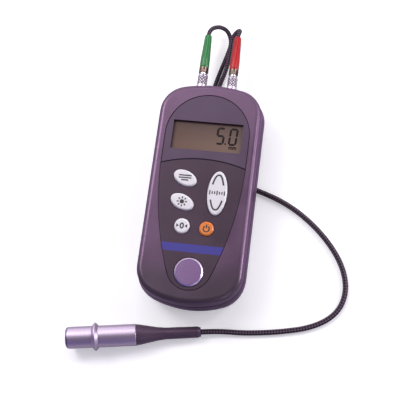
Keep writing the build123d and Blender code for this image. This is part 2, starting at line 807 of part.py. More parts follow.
# Sockets and plugs, left and right: a flanged socket, and a plug with its inner body, a
# fluted sleeve that is pulled back to unlock it, a collar with flats, and a soft boot
for name, side, colour in (("left", -1, "green"), ("right", 1, "red")):
    x = side * socket_x
    with BuildPart() as socket_body:
        add(turned(x, (socket_face_y, socket_mouth_radius), (socket_face_y, flange_radius - flange_bevel),
                   (socket_face_y - flange_bevel, flange_radius), (flange_y, flange_radius),
                   (flange_y, socket_radius), (socket_rear_y, socket_radius),
                   (socket_rear_y, insulator_radius), (socket_step_y, insulator_radius),
                   (socket_step_y, socket_mouth_radius)))
    save(socket_body, f"socket_body_{name}")
    with BuildPart() as socket_insulator:
        low, high = socket_rear_y - insulator_reach[0], socket_step_y + insulator_reach[1]
        add(turned(x, (low, contact_radius), (low, insulator_radius), (high, insulator_radius),
                   (high, contact_radius)))
    save(socket_insulator, f"socket_insulator_{name}")
    with BuildPart() as socket_contact:
        add(turned(x, (contact_rear_y, 0), (contact_rear_y, contact_radius),
                   (contact_front_y, contact_radius), (contact_front_y, 0)))
    save(socket_contact, f"socket_contact_{name}")
    with BuildPart() as plug_body:
        add(turned(x, (body_tip_y, body_bore_radius), (body_tip_y, body_radius),
                   (body_rear_y, body_radius), (body_rear_y, contact_radius),
                   (body_floor_y, contact_radius), (body_floor_y, body_bore_radius)))
    save(plug_body, f"plug_body_{name}")
    with BuildPart() as plug_insulator:
        add(turned(x, (plug_insulator_y, contact_radius), (plug_insulator_y, body_bore_radius),
                   (body_floor_y, body_bore_radius), (body_floor_y, contact_radius)))
    save(plug_insulator, f"plug_insulator_{name}")
    with BuildPart() as plug_pin:
        add(turned(x, (contact_front_y, 0), (contact_front_y, contact_radius),
                   (body_rear_y, contact_radius), (body_rear_y, 0)))
    save(plug_pin, f"plug_pin_{name}")
    with BuildPart() as plug_sleeve:
        ridge_y = [sleeve_start_y + distance for distance in sleeve_ridge_y]
        add(turned(x, (sleeve_start_y, sleeve_bore_radius),
                   (sleeve_start_y, sleeve_ridge_radius - sleeve_ridge_y[0]),
                   (ridge_y[0], sleeve_ridge_radius), (ridge_y[1], sleeve_ridge_radius),
                   (ridge_y[2], sleeve_radius), (sleeve_end_y - sleeve_bevel[0], sleeve_radius),
                   (sleeve_end_y, sleeve_radius - sleeve_bevel[1]), (sleeve_end_y, sleeve_bore_radius)))
        with BuildSketch(facing_down(sleeve_end_y)):
            with Locations((x, plug_z)):
                with PolarLocations((sleeve_radius + sleeve_ridge_radius) / 2, sleeve_flutes):
                    Circle(flute_radius)
        extrude(amount=sleeve_end_y - sleeve_start_y - flute_end_gap, mode=Mode.SUBTRACT)
    save(plug_sleeve, f"plug_sleeve_{name}")
    with BuildPart() as plug_collar:
        add(turned(x, (collar_start_y, body_radius), (collar_start_y, collar_radius),
                   (boot_start_y, collar_radius), (boot_start_y, collar_bore_radius),
                   (body_rear_y, collar_bore_radius), (body_rear_y, body_radius)))
        with BuildSketch(facing_down(collar_start_y + collar_flats_length)):
            with Locations((x, plug_z)):
                Circle(collar_radius + cut_margin)
                RegularPolygon(collar_half_flats, hexagon, major_radius=False, mode=Mode.SUBTRACT)
        extrude(amount=collar_flats_length, mode=Mode.SUBTRACT)
    save(plug_collar, f"plug_collar_{name}")
    with BuildPart() as boot:
        profile = [(boot_start_y + along, radius) for along, radius in boot_shape]
        add(turned(x, (boot_start_y, 0), *profile, (boot_end_y, 0)))
    save(boot, f"boot_{colour}")

with BuildPart() as socket_nuts:
    with BuildSketch(facing_down(socket_nut_y)):
        for side in (-1, 1):
            with Locations((side * socket_x, plug_z)):
                RegularPolygon(socket_nut_half_flats, hexagon, rotation=180 / hexagon,
                               major_radius=False)
                Circle(socket_radius, mode=Mode.SUBTRACT)
    extrude(amount=socket_nut_thickness)
save(socket_nuts, "socket_nuts")

# Batteries: two cells side by side, head to tail, between sprung end contacts
for name, side in (("left", -1), ("right", 1)):
    low = bay_low_y + (spring_depth if side < 0 else stud_depth + nub_length)
    with BuildPart() as battery:
        with BuildSketch(facing_down(low)):
            with Locations((side * cell_x, cell_z)):
                Circle(cell_radius)
        extrude(amount=-cell_length)
        nub_base = low + cell_length if side < 0 else low
        with BuildSketch(facing_down(nub_base)):
            with Locations((side * cell_x, cell_z)):
                Circle(nub_radius)
        extrude(amount=side * nub_length)
    save(battery, f"battery_{name}")


def spring_leaf(start, into_bay):
    """Side view of a leaf that rises from a contact plate, bends over and comes back."""
    crest = start + into_bay * (spring_depth - strip_thickness)
    inside = crest - into_bay * spring_sheet
    foot_z = cell_z - plate_half
    inner_low_z, inner_high_z = [cell_z + rise for rise in spring_inner_rise]
    tail_near, tail_far, tail_rise = spring_tail
    with BuildSketch(mode=Mode.PRIVATE) as leaf:
        with BuildLine():
            Polyline((start, foot_z), (crest, cell_z - spring_outer_rise),
                     (crest, cell_z + spring_outer_rise),
                     (start + into_bay * tail_far, cell_z + tail_rise),
                     (start + into_bay * tail_near, cell_z + tail_rise),
                     (inside, inner_high_z), (inside, inner_low_z),
                     (start, foot_z + spring_foot), close=True)
        make_face()
    return leaf.sketch


def contact(plate_y, into_bay, cells, spring_cells, stud_cells):
    """One bent contact strip: a plate on the bay's end wall, with leaves and studs."""
    face_y = plate_y + into_bay * strip_thickness
    with BuildPart(mode=Mode.PRIVATE) as strip:
        with BuildSketch(facing_down(plate_y)):
            for at in cells:
                with Locations((at, cell_z)):
                    Rectangle(2 * plate_half, 2 * plate_half)
            if len(cells) > 1:
                with Locations((0, cell_z)):
                    Rectangle(2 * cell_x, plate_half)
        extrude(amount=-into_bay * strip_thickness)
        for at in stud_cells:
            with BuildSketch(facing_down(face_y)):
                with Locations((at, cell_z)):
                    Circle(stud_radius)
            extrude(amount=-into_bay * (stud_depth - strip_thickness))
        for at in spring_cells:
            with BuildSketch(Plane.YZ.offset(at)):
                add(spring_leaf(face_y, into_bay))
            extrude(amount=spring_half_width, both=True)
    return strip.part


with BuildPart() as contact_bridge:
    add(contact(bay_low_y, 1, (-cell_x, cell_x), (-cell_x,), (cell_x,)))
save(contact_bridge, "contact_bridge")
with BuildPart() as contact_plus:
    add(contact(bay_high_y, -1, (-cell_x,), (), (-cell_x,)))
save(contact_plus, "contact_plus")
with BuildPart() as contact_minus:
    add(contact(bay_high_y, -1, (cell_x,), (cell_x,), ()))
save(contact_minus, "contact_minus")

# Probe: a turned steel tube with a raised ring, two delay blocks with a sound barrier
# between them, a crystal behind each, a backing and a long flexible boot
probe_line = (probe_tail - probe_front).normalized()
probe_side = probe_line.cross(Vector(0, 0, 1)).normalized()
probe_axis = Axis(probe_front, probe_line)
probe_length = (probe_tail - probe_front).length


def probe_turned(*profile):
    """A piece turned round the probe's axis, from its half profile of (distance, radius)."""
    with BuildPart(mode=Mode.PRIVATE) as piece:
        with BuildSketch(Plane(probe_front, x_dir=probe_line, z_dir=probe_side)):
            with BuildLine():
                Polyline(*profile, close=True)
            make_face()
        revolve(axis=probe_axis)
    return piece.part


def across_probe(distance):
    """Plane across the probe at one distance from its front."""
    return Plane(probe_front + probe_line * distance, x_dir=probe_side, z_dir=probe_line)


def probe_half(side, start, end):
    """A half-round block in the probe's bore, clear of the barrier at its middle."""
    with BuildPart(mode=Mode.PRIVATE) as block:
        with BuildSketch(across_probe(start)):
            Circle(probe_bore_radius)
            with Locations((side * (probe_radius + barrier_thickness / 2), 0)):
                Rectangle(2 * probe_radius, 2 * probe_radius, mode=Mode.INTERSECT)
        extrude(amount=end - start)
    return block.part


ridge_low = probe_ridge_at - ridge_foot
ridge_high = probe_ridge_at + ridge_foot
with BuildPart() as probe_shell:
    add(probe_turned((0, probe_bore_radius), *probe_nose, (ridge_low, probe_radius),
                     (probe_ridge_at - ridge_crest, probe_ridge_radius),
                     (probe_ridge_at + ridge_crest, probe_ridge_radius), (ridge_high, probe_radius),
                     (probe_metal_length - probe_rear_bevel, probe_radius),
                     (probe_metal_length, probe_radius - probe_rear_bevel),
                     (probe_metal_length, probe_bore_radius)))
save(probe_shell, "probe_shell")
for name, side in (("left", -1), ("right", 1)):
    with BuildPart() as probe_delay:
        add(probe_half(side, -delay_proud, delay_end))
    save(probe_delay, f"probe_delay_{name}")
    with BuildPart() as probe_crystal:
        add(probe_half(side, delay_end, crystal_end))
    save(probe_crystal, f"probe_crystal_{name}")
with BuildPart() as probe_barrier:
    with BuildSketch(across_probe(-delay_proud)):
        Circle(probe_bore_radius)
        Rectangle(barrier_thickness, 2 * probe_radius, mode=Mode.INTERSECT)
    extrude(amount=crystal_end + delay_proud)
save(probe_barrier, "probe_barrier")
with BuildPart() as probe_backing:
    add(probe_turned((crystal_end, 0), (crystal_end, probe_bore_radius),
                     (backing_end, probe_bore_radius), (backing_end, 0)))
save(probe_backing, "probe_backing")
with BuildPart() as probe_boot:
    taper_shape = [(probe_metal_length + along, radius) for along, radius in probe_boot_shape]
    end_shape = [(probe_length - along, radius) for along, radius in probe_boot_end]
    add(probe_turned((boot_plug_start, 0), (boot_plug_start, probe_bore_radius),
                     (probe_metal_length, probe_bore_radius), *taper_shape, *end_shape,
                     (probe_length, 0)))
save(probe_boot, "probe_boot")


def cord(name, route, diameter):
    """A plain tube: straight runs joined by arcs as large as the runs allow."""
    points = [Vector(*point) for point in route]
    radii = []
    for before, at, after in zip(points, points[1:], points[2:]):
        half_turn = radians((at - before).get_angle(after - at)) / 2
        shorter = min((at - before).length, (after - at).length)
        radii.append(bend_share * shorter / tan(half_turn))
    with BuildPart(mode=Mode.PRIVATE) as tube:
        with BuildLine() as path:
            FilletPolyline(*points, radius=radii)
        with BuildSketch(Plane(path.line @ 0, z_dir=path.line % 0)):
            Circle(diameter / 2)
        sweep()
    length = path.wires()[0].length
    print(name, "length", round(length, 1), "radii", [round(r, 1) for r in radii])
    print(name, "volume against section times length",
          round(tube.part.volume / (pi * diameter**2 / 4 * length), 4))
    return tube.part


# Leads and cable: each lead leaves its boot, turns back under itself and runs under the
# housing's raised end to the splitter; the cable runs from there out and round to the probe
green_route = [
    (-socket_x, boot_end_y, plug_z), (-socket_x, 120.6, plug_z), (-8.6, 124.7, 13.1),
    (-4.1, 127.9, 9.8), (1.6, 127.3, 5.5), (5.0, 119.8, 2.4), (2.8, 109.4, lead_low_z),
    (-0.5, 97.2, lead_low_z), (-3.2, 85.4, lead_low_z), (lead_entry_x[0], 72.8, lead_low_z),
    (lead_entry_x[0], splitter_y[0], lead_low_z),
]
red_route = [
    (socket_x, boot_end_y, plug_z), (socket_x, 120.3, plug_z), (11.4, 124.3, 12.8),
    (9.2, 126.0, 8.8), (5.8, 122.4, 6.8), (5.2, 115.8, 6.6), (5.0, 106.8, 5.6),
    (4.0, 97.8, 4.2), (0.3, 86.6, 1.8), (lead_entry_x[1], 74.2, lead_low_z),
    (lead_entry_x[1], splitter_y[0], lead_low_z),
]
trunk_places = [
    (splitter_x, splitter_y[2]), (splitter_x, 39.0), (1.0, 27.0), (14.5, 17.6), (32.0, 12.6),
    (52.0, 6.2), (69.0, -3.4), (85.0, -17.5), (97.0, -34.0), (101.4, -51.0), (96.6, -66.4),
    (81.6, -77.0), (60.0, -82.5), (38.0, -85.8),
]
trunk_route = [(x, y, trunk_low_z) for x, y in trunk_places]
trunk_route += [probe_tail + probe_line * trunk_straight, probe_tail]
with BuildPart() as lead_green:
    add(cord("lead_green", green_route, lead_diameter))
save(lead_green, "lead_green")
with BuildPart() as lead_red:
    add(cord("lead_red", red_route, lead_diameter))
save(lead_red, "lead_red")
with BuildPart() as probe_cable:
    add(cord("probe_cable", trunk_route, trunk_diameter))
save(probe_cable, "probe_cable")

# Splitter: a moulded sleeve where the two leads go into one cable
with BuildPart() as cable_splitter:
    for at_y, width in zip(splitter_y, splitter_widths):
        with BuildSketch(Plane((splitter_x, at_y, splitter_z), x_dir=(1, 0, 0), z_dir=(0, -1, 0))):
            RectangleRounded(width, splitter_height, splitter_round)
    loft()
save(cable_splitter, "cable_splitter")
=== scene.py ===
from math import atan2, cos, hypot, pi, radians, sin

import bmesh
import bpy
from mathutils import Matrix, Vector


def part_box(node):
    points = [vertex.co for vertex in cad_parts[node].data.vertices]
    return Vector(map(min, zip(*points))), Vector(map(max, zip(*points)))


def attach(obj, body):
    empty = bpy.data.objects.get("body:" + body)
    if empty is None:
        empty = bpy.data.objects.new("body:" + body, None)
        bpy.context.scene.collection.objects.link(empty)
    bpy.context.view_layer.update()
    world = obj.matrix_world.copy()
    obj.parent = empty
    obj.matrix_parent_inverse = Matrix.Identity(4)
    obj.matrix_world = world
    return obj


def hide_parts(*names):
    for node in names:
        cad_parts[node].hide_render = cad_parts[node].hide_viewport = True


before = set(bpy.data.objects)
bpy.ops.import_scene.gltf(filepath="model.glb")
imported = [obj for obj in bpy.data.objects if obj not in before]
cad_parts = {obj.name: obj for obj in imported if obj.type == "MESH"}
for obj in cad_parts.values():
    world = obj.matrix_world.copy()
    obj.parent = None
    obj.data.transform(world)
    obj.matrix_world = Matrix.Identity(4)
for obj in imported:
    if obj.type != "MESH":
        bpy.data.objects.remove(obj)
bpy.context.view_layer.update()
MM = 0.001

# Viewpoint. The gauge was seen from above its foot end, a little to the right, with the
# camera rolled so that the gauge leans in the picture. Distances are in metres.
view_azimuth = radians(27.91)
view_elevation = radians(73.19)
view_roll = radians(-21.33)
view_distance = 0.56943
view_target = Vector((-0.000255, -0.003867, 0.0200))
view_lens = 77.23
view_sensor = 36.0
view_nearest = 0.01

toward_camera = Vector((
    sin(view_azimuth) * cos(view_elevation),
    -cos(view_azimuth) * cos(view_elevation),
    sin(view_elevation),
))
level_right = Vector((cos(view_azimuth), sin(view_azimuth), 0))
level_up = toward_camera.cross(level_right)
picture_right = level_right * cos(view_roll) + level_up * sin(view_roll)
picture_up = toward_camera.cross(picture_right)

camera = bpy.data.objects.new("camera", bpy.data.cameras.new("camera"))
bpy.context.collection.objects.link(camera)
camera.data.lens = view_lens
camera.data.sensor_width = view_sensor
camera.data.clip_start = view_nearest
camera.matrix_world = (
    Matrix.Translation(view_target + toward_camera * view_distance)
    @ Matrix((picture_right, picture_up, toward_camera)).transposed().to_4x4()
)
bpy.context.scene.camera = camera


# Leads and cable. Two thin coaxial leads in a woven jacket run from the plugs back under the
# housing into a splitter, and one thicker cable runs from there to the probe. The routes are
# the centre lines in metres. They start at a boot or at the splitter.
lead_diameter = 3.1 * MM
trunk_diameter = 3.6 * MM
probe_front = Vector((-77.0, -103.4, 10.7)) * MM
probe_tail = Vector((9.6, -88.5, 3.9)) * MM
probe_line = (probe_tail - probe_front).normalized()
straight_run = 12 * MM

green_route = [
    (-0.0105, 0.1179, 0.0145), (-0.0105, 0.1206, 0.0145), (-0.0086, 0.1247, 0.0131),
    (-0.0041, 0.1279, 0.0098), (0.0016, 0.1273, 0.0055), (0.0050, 0.1198, 0.0024),
    (0.0028, 0.1094, 0.0016), (-0.0005, 0.0972, 0.0016), (-0.0032, 0.0854, 0.0016),
    (-0.0052, 0.0728, 0.0016), (-0.0052, 0.0620, 0.0016),
]
red_route = [
    (0.0105, 0.1179, 0.0145), (0.0105, 0.1203, 0.0145), (0.0114, 0.1243, 0.0128),
    (0.0092, 0.1260, 0.0088), (0.0058, 0.1224, 0.0068), (0.0052, 0.1158, 0.0066),
    (0.0050, 0.1068, 0.0056), (0.0040, 0.0978, 0.0042), (0.0003, 0.0866, 0.0018),
    (-0.0015, 0.0742, 0.0016), (-0.0015, 0.0620, 0.0016),
]
trunk_route = [
    (-0.00335, 0.0480, 0.0018), (-0.00335, 0.0390, 0.0018), (0.0010, 0.0270, 0.0018),
    (0.0145, 0.0176, 0.0018), (0.0320, 0.0126, 0.0018), (0.0520, 0.0062, 0.0018),
    (0.0690, -0.0034, 0.0018), (0.0850, -0.0175, 0.0018), (0.0970, -0.0340, 0.0018),
    (0.1014, -0.0510, 0.0018), (0.0966, -0.0664, 0.0018), (0.0816, -0.0770, 0.0018),
    (0.0600, -0.0825, 0.0018), (0.0380, -0.0858, 0.0018),
    tuple(probe_tail + probe_line * straight_run), tuple(probe_tail),
]
jacket_sides = 36
jacket_carriers = 3
jacket_relief = 0.08 * MM
points_per_span = 40


def centre_line(name, route):
    """The points of one smooth open curve that has the route as its control points."""
    curve = bpy.data.curves.new(name, "CURVE")
    curve.dimensions = "3D"
    curve.resolution_u = points_per_span
    spline = curve.splines.new("NURBS")
    spline.points.add(len(route) - 1)
    for point, spot in zip(spline.points, route):
        point.co = (*spot, 1)
    spline.order_u = 3
    spline.use_endpoint_u = True
    carrier = bpy.data.objects.new(name, curve)
    points = [v.co.copy() for v in bpy.data.meshes.new_from_object(carrier).vertices]
    bpy.data.objects.remove(carrier)
    return points


def finished_piece(name, mesh, material):
    """A piece of the scene from a mesh that is done, in one finish."""
    data = bpy.data.meshes.new(name)
    mesh.to_mesh(data)
    mesh.free()
    data.materials.append(material)
    piece = bpy.data.objects.new(name, data)
    bpy.context.collection.objects.link(piece)
    return piece


def woven_tube(name, points, diameter, material):
    """A tube along the points, with the shallow relief of a braided jacket and UVs round it."""
    mesh = bmesh.new()
    layer = mesh.loops.layers.uv.new("jacket")
    along = 0.0
    side = None
    rings = []
    for i, point in enumerate(points):
        ahead = points[min(i + 1, len(points) - 1)] - points[max(i - 1, 0)]
        ahead.normalize()
        if side is None:
            side = ahead.orthogonal().normalized()
        side = (side - ahead * side.dot(ahead)).normalized()
        other = ahead.cross(side)
        if i:
            along += (point - points[i - 1]).length
        ring = []
        for k in range(jacket_sides):
            turn = 2 * pi * k / jacket_sides
            twist = 2 * along / diameter
            over = sin(jacket_carriers * (turn + twist)) * sin(jacket_carriers * (turn - twist))
            radius = diameter / 2 - jacket_relief * (0.5 - 0.5 * over)
            ring.append(mesh.verts.new(point + side * cos(turn) * radius + other * sin(turn) * radius))
        rings.append((ring, along))
    for (near, near_along), (far, far_along) in zip(rings, rings[1:]):
        for k in range(jacket_sides):
            after = (k + 1) % jacket_sides
            face = mesh.faces.new((near[k], near[after], far[after], far[k]))
            face.smooth = True
            places = ((k, near_along), (k + 1, near_along), (k + 1, far_along), (k, far_along))
            for loop, (round_step, distance) in zip(face.loops, places):
                loop[layer].uv = (round_step / jacket_sides, distance / (pi * diameter))
    mesh.faces.new(reversed(rings[0][0]))
    mesh.faces.new(rings[-1][0])
    return finished_piece(name, mesh, material)


def place(tree, kind, inputs=None, **settings):
    """One shader node in a tree, with its settings, its constants and what feeds it."""
    node = tree.nodes.new(kind)
    for name, value in settings.items():
        setattr(node, name, value)
    for socket, value in (inputs or {}).items():
        if isinstance(value, bpy.types.NodeSocket):
            tree.links.new(value, node.inputs[socket])
        else:
            node.inputs[socket].default_value = value
    return node


def worked(tree, operation, first, second=0.0):
    """A sum of one or two values."""
    return place(tree, "ShaderNodeMath", {0: first, 1: second}, operation=operation).outputs[0]


def worked_place(tree, operation, first, second=(0, 0, 0)):
    """A sum of one or two places, which gives a place, a length or a product."""
    node = place(tree, "ShaderNodeVectorMath", {0: first, 1: second}, operation=operation)
    return node.outputs["Value" if operation in ("LENGTH", "DOT_PRODUCT") else "Vector"]


def faded(tree, value, start, end, low=0.0, high=1.0, smooth=False):
    """A value that goes from low to high while another goes from start to end."""
    return place(tree, "ShaderNodeMapRange",
                 {"Value": value, "From Min": start, "From Max": end, "To Min": low, "To Max": high},
                 interpolation_type="SMOOTHSTEP" if smooth else "LINEAR").outputs["Result"]


def mixed_colour(tree, share, without, full):
    """The colour without at a share of nought, and the colour full at a share of one."""
    return place(tree, "ShaderNodeMix", {"Factor": share, "A": without, "B": full},
                 data_type="RGBA").outputs["Result"]


def start_group(name, inputs):
    """An empty shader node group that gives a colour, a height and a roughness."""
    group = bpy.data.node_groups.new(name, "ShaderNodeTree")
    for label, value in inputs.items():
        kind = "NodeSocketColor" if isinstance(value, tuple) else "NodeSocketFloat"
        socket = group.interface.new_socket(label, in_out="INPUT", socket_type=kind)
        socket.default_value = value
    for label, kind in (("Colour", "NodeSocketColor"), ("Height", "NodeSocketFloat"),
                        ("Roughness", "NodeSocketFloat")):
        group.interface.new_socket(label, in_out="OUTPUT", socket_type=kind)
    return group, group.nodes.new("NodeGroupInput").outputs


def end_group(group, colour, height, roughness):
    """Joins the three results of a group to its outputs."""
    place(group, "NodeGroupOutput", {"Colour": colour, "Height": height, "Roughness": roughness})


def start_material(name, **constants):
    """A material with one surface shader that holds the constants given."""
    made = bpy.data.materials.new(name)
    made.use_nodes = True
    tree = made.node_tree
    tree.nodes.clear()
    surface = tree.nodes.new("ShaderNodeBsdfPrincipled")
    out = tree.nodes.new("ShaderNodeOutputMaterial")
    tree.links.new(surface.outputs["BSDF"], out.inputs["Surface"])
    for socket, value in constants.items():
        surface.inputs[socket.replace("_", " ")].default_value = value
    return made, tree, surface


def relief(tree, surface, height, depth):
    """Feeds a height, times a depth in metres, into a surface's normal."""
    bump = place(tree, "ShaderNodeBump", {"Height": height, "Distance": depth})
    tree.links.new(bump.outputs["Normal"], surface.inputs["Normal"])


def lay_over(tree, surface, effect, depth, values):
    """Puts a shared effect on a surface: its colour, its roughness and its height."""
    laid = place(tree, "ShaderNodeGroup", values, node_tree=effect)
    tree.links.new(laid.outputs["Colour"], surface.inputs["Base Color"])
    tree.links.new(laid.outputs["Roughness"], surface.inputs["Roughness"])
    relief(tree, surface, laid.outputs["Height"], depth)


braid, braid_in = start_group("braid", {"Turns": 12.0, "Dark": (0.01, 0.01, 0.01, 1),
                                        "Light": (0.04, 0.04, 0.04, 1)})
braid_uv = place(braid, "ShaderNodeUVMap", uv_map="jacket")
braid_axes = place(braid, "ShaderNodeSeparateXYZ", {"Vector": braid_uv.outputs["UV"]}).outputs
braid_waves = []
for lean in ("ADD", "SUBTRACT"):
    diagonal = worked(braid, lean, braid_axes["X"], braid_axes["Y"])
    turns = worked(braid, "MULTIPLY", diagonal, braid_in["Turns"])
    angle = worked(braid, "MULTIPLY", turns, 2 * pi)
    braid_waves.append(worked(braid, "SINE", angle))
braid_over = faded(braid, worked(braid, "MULTIPLY", *braid_waves), -0.6, 0.6)
end_group(braid, mixed_colour(braid, braid_over, braid_in["Dark"], braid_in["Light"]), braid_over,
          faded(braid, braid_over, 0.0, 1.0, 0.62, 0.42))

jacket, jacket_tree, jacket_surface = start_material("woven_jacket", Specular_IOR_Level=0.14,
                                                     Specular_Tint=(1.0, 0.75, 1.0, 1))
lay_over(jacket_tree, jacket_surface, braid, jacket_relief,
         {"Turns": jacket_carriers, "Dark": (0.001, 0.001, 0.001, 1),
          "Light": (0.110, 0.079, 0.109, 1)})

free_cords = {}
for cord_name, cord_route, cord_diameter in (
    ("lead_green", green_route, lead_diameter),
    ("lead_red", red_route, lead_diameter),
    ("probe_cable", trunk_route, trunk_diameter),
):
    line_points = centre_line(cord_name + "_line", cord_route)
    cord_tube = woven_tube(cord_name + "_jacket", line_points, cord_diameter, jacket)
    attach(cord_tube, "gauge")
    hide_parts(cord_name)
    free_cords[cord_name] = (cord_tube, line_points)

for cord_name in ("lead_green", "lead_red"):
    cord_tube, line_points = free_cords[cord_name]
cord_tube, line_points = free_cords["probe_cable"]


# Setting. A plain pale table that reads as white to the camera and fades into a white room. A
# bright screen stands behind the plug end under a dim violet ceiling. Four large soft lights
# hang high round that end, and two low ones brighten the right side and the foot.
table_half = 3.0
table_drop = 0.1 * MM
table_colour = (0.8, 0.8, 0.8, 1)
table_mirrored_colour = (0.42, 0.40, 0.44, 1)
table_mirrored_share = 0.35
table_near_glow = 0.36
table_far_glow = 0.9
table_fade = (0.4, 1.1)
screen_colour = (2.0, 1.94, 2.02, 1)
screen_side = (-0.2, 0.5)
screen_height = (0.05, 0.92)
screen_top_share = 0.07
wall_colour = (0.12, 0.10, 0.34, 1)
ceiling_colour = (0.12, 0.09, 0.14, 1)
ceiling_height = (0.25, 0.85)
light_distance = 1.1

table_mesh = bpy.data.meshes.new("table")
table_mesh.from_pydata([(x * table_half, y * table_half, -table_drop)
                        for x, y in ((-1, -1), (1, -1), (1, 1), (-1, 1))], [], [(0, 1, 2, 3)])
table_top = bpy.data.objects.new("table", table_mesh)
bpy.context.collection.objects.link(table_top)

table_paint = bpy.data.materials.new("table_paint")
table_paint.use_nodes = True
table_tree = table_paint.node_tree
table_tree.nodes.clear()
table_ray = place(table_tree, "ShaderNodeLightPath").outputs
table_tone = mixed_colour(table_tree, table_ray["Is Glossy Ray"], table_colour, table_mirrored_colour)
table_diffuse = place(table_tree, "ShaderNodeBsdfDiffuse", {"Color": table_tone})
table_mirrored = worked(table_tree, "MAXIMUM", table_ray["Is Glossy Ray"],
                        table_ray["Is Transmission Ray"])
table_softened = worked(table_tree, "MULTIPLY", table_mirrored, table_mirrored_share)
table_clear = worked(table_tree, "MAXIMUM", table_softened, table_ray["Is Camera Ray"])
table_spot = place(table_tree, "ShaderNodeTexCoord").outputs["Object"]
table_far = faded(table_tree, worked_place(table_tree, "LENGTH", table_spot), *table_fade,
                  table_near_glow, table_far_glow, smooth=True)
table_level = place(table_tree, "ShaderNodeMix", {"Factor": table_ray["Is Camera Ray"],
                                                  "A": table_near_glow, "B": table_far})
table_lift = worked(table_tree, "MULTIPLY", table_clear, table_level.outputs["Result"])
table_glow = place(table_tree, "ShaderNodeEmission", {"Color": (1, 1, 1, 1), "Strength": table_lift})
table_both = place(table_tree, "ShaderNodeAddShader", {0: table_diffuse.outputs[0],
                                                       1: table_glow.outputs[0]})
place(table_tree, "ShaderNodeOutputMaterial", {"Surface": table_both.outputs[0]})
table_mesh.materials.append(table_paint)

sky = bpy.data.worlds.new("sky")
sky.use_nodes = True
sky_tree = sky.node_tree
sky_way = place(sky_tree, "ShaderNodeTexCoord").outputs["Generated"]
sky_axes = place(sky_tree, "ShaderNodeSeparateXYZ", {"Vector": sky_way}).outputs
sky_behind = faded(sky_tree, sky_axes["Y"], *screen_side, smooth=True)
sky_low = faded(sky_tree, sky_axes["Z"], *screen_height, 1.0, screen_top_share, smooth=True)
sky_screen = worked(sky_tree, "MULTIPLY", sky_behind, sky_low)
sky_high = faded(sky_tree, sky_axes["Z"], *ceiling_height, smooth=True)
sky_dark = mixed_colour(sky_tree, sky_high, wall_colour, ceiling_colour)
sky_lit = mixed_colour(sky_tree, sky_screen, sky_dark, screen_colour)
sky_ray = place(sky_tree, "ShaderNodeLightPath").outputs["Is Camera Ray"]
sky_seen = mixed_colour(sky_tree, sky_ray, sky_lit, (1, 1, 1, 1))
sky_tree.links.new(sky_seen, sky_tree.nodes["Background"].inputs["Color"])
sky_tree.nodes["Background"].inputs["Strength"].default_value = 1.0
bpy.context.scene.world = sky


def soft_light(name, toward, size, power):
    """A white rectangular light, aimed at the middle of the housing."""
    lamp = bpy.data.lights.new(name, "AREA")
    lamp.shape = "RECTANGLE"
    lamp.size, lamp.size_y = size
    lamp.energy = power
    holder = bpy.data.objects.new(name, lamp)
    holder.location = Vector(toward).normalized() * light_distance
    holder.rotation_mode = "QUATERNION"
    holder.rotation_quaternion = Vector(toward).to_track_quat("Z", "Y")
    bpy.context.collection.objects.link(holder)


soft_light("light_above_plugs", (-0.10, 0.55, 0.82), (0.50, 0.32), 2.0)
soft_light("light_from_left", (-0.58, 0.36, 0.73), (0.40, 0.40), 4.4)
soft_light("light_from_right", (0.62, 0.42, 0.66), (0.20, 0.24), 2.4)
soft_light("light_along_left_edge", (-0.50, 0.15, 0.85), (0.40, 0.40), 1.6)
soft_light("low_light_from_right", (0.95, 0.12, 0.20), (0.40, 0.40), 5.0)
soft_light("low_light_from_foot", (0.50, -0.70, 0.50), (0.40, 0.40), 1.2)
bpy.context.scene.view_settings.view_transform = "Standard"


# Finishes that are shared by several moulded pieces. A spark-eroded mould gives the plastic a
# fine even grain, and handling gives it slightly smoother and duller patches.
patches_per_metre = 55.0

moulded, moulded_in = start_group("moulded_skin", {
    "Colour": (0.1, 0.1, 0.1, 1), "Rubbed": (0.12, 0.12, 0.12, 1), "Grain": 2600.0,
    "Smoothest": 0.35, "Roughest": 0.5,
})
moulded_spot = place(moulded, "ShaderNodeTexCoord").outputs["Object"]
moulded_grain = place(moulded, "ShaderNodeTexNoise",
                      {"Vector": moulded_spot, "Scale": moulded_in["Grain"], "Detail": 3.0,
                       "Roughness": 0.6}).outputs["Fac"]
moulded_patch = place(moulded, "ShaderNodeTexNoise",
                      {"Vector": moulded_spot, "Scale": patches_per_metre,
                       "Detail": 4.0}).outputs["Fac"]
moulded_tone = mixed_colour(moulded, faded(moulded, moulded_patch, 0.38, 0.68),
                            moulded_in["Colour"], moulded_in["Rubbed"])
end_group(moulded, moulded_tone, moulded_grain,
          faded(moulded, moulded_patch, 0.35, 0.65, moulded_in["Smoothest"], moulded_in["Roughest"]))


def moulded_finish(name, colour, rubbed, grain=2600.0, gloss=(0.35, 0.5), depth=0.02, **constants):
    """A moulded plastic or rubber, with a fine grain and a colour that varies a little."""
    made, tree, surface = start_material(name, **constants)
    lay_over(tree, surface, moulded, depth * MM,
             {"Colour": (*colour, 1), "Rubbed": (*rubbed, 1), "Grain": grain,
              "Smoothest": gloss[0], "Roughest": gloss[1]})
    return made


def opened(finish):
    """A finish's node tree, its surface shader, and the colour that feeds the shader."""
    tree = finish.node_tree
    surface = tree.nodes["Principled BSDF"]
    return tree, surface, surface.inputs["Base Color"].links[0].from_socket


def own_place(tree):
    """Where a point of the surface lies, in metres."""
    return place(tree, "ShaderNodeTexCoord").outputs["Object"]


def own_axes(tree):
    """How far a point of the surface lies along X, Y and Z, in metres."""
    return place(tree, "ShaderNodeSeparateXYZ", {"Vector": own_place(tree)}).outputs


def reach_from(tree, spot, middle, flat=(1, 1, 0)):
    """How far a spot is from the line through the middle that the flat directions leave out."""
    moved = worked_place(tree, "SUBTRACT", spot, tuple(middle))
    return worked_place(tree, "LENGTH", worked_place(tree, "MULTIPLY", moved, flat))


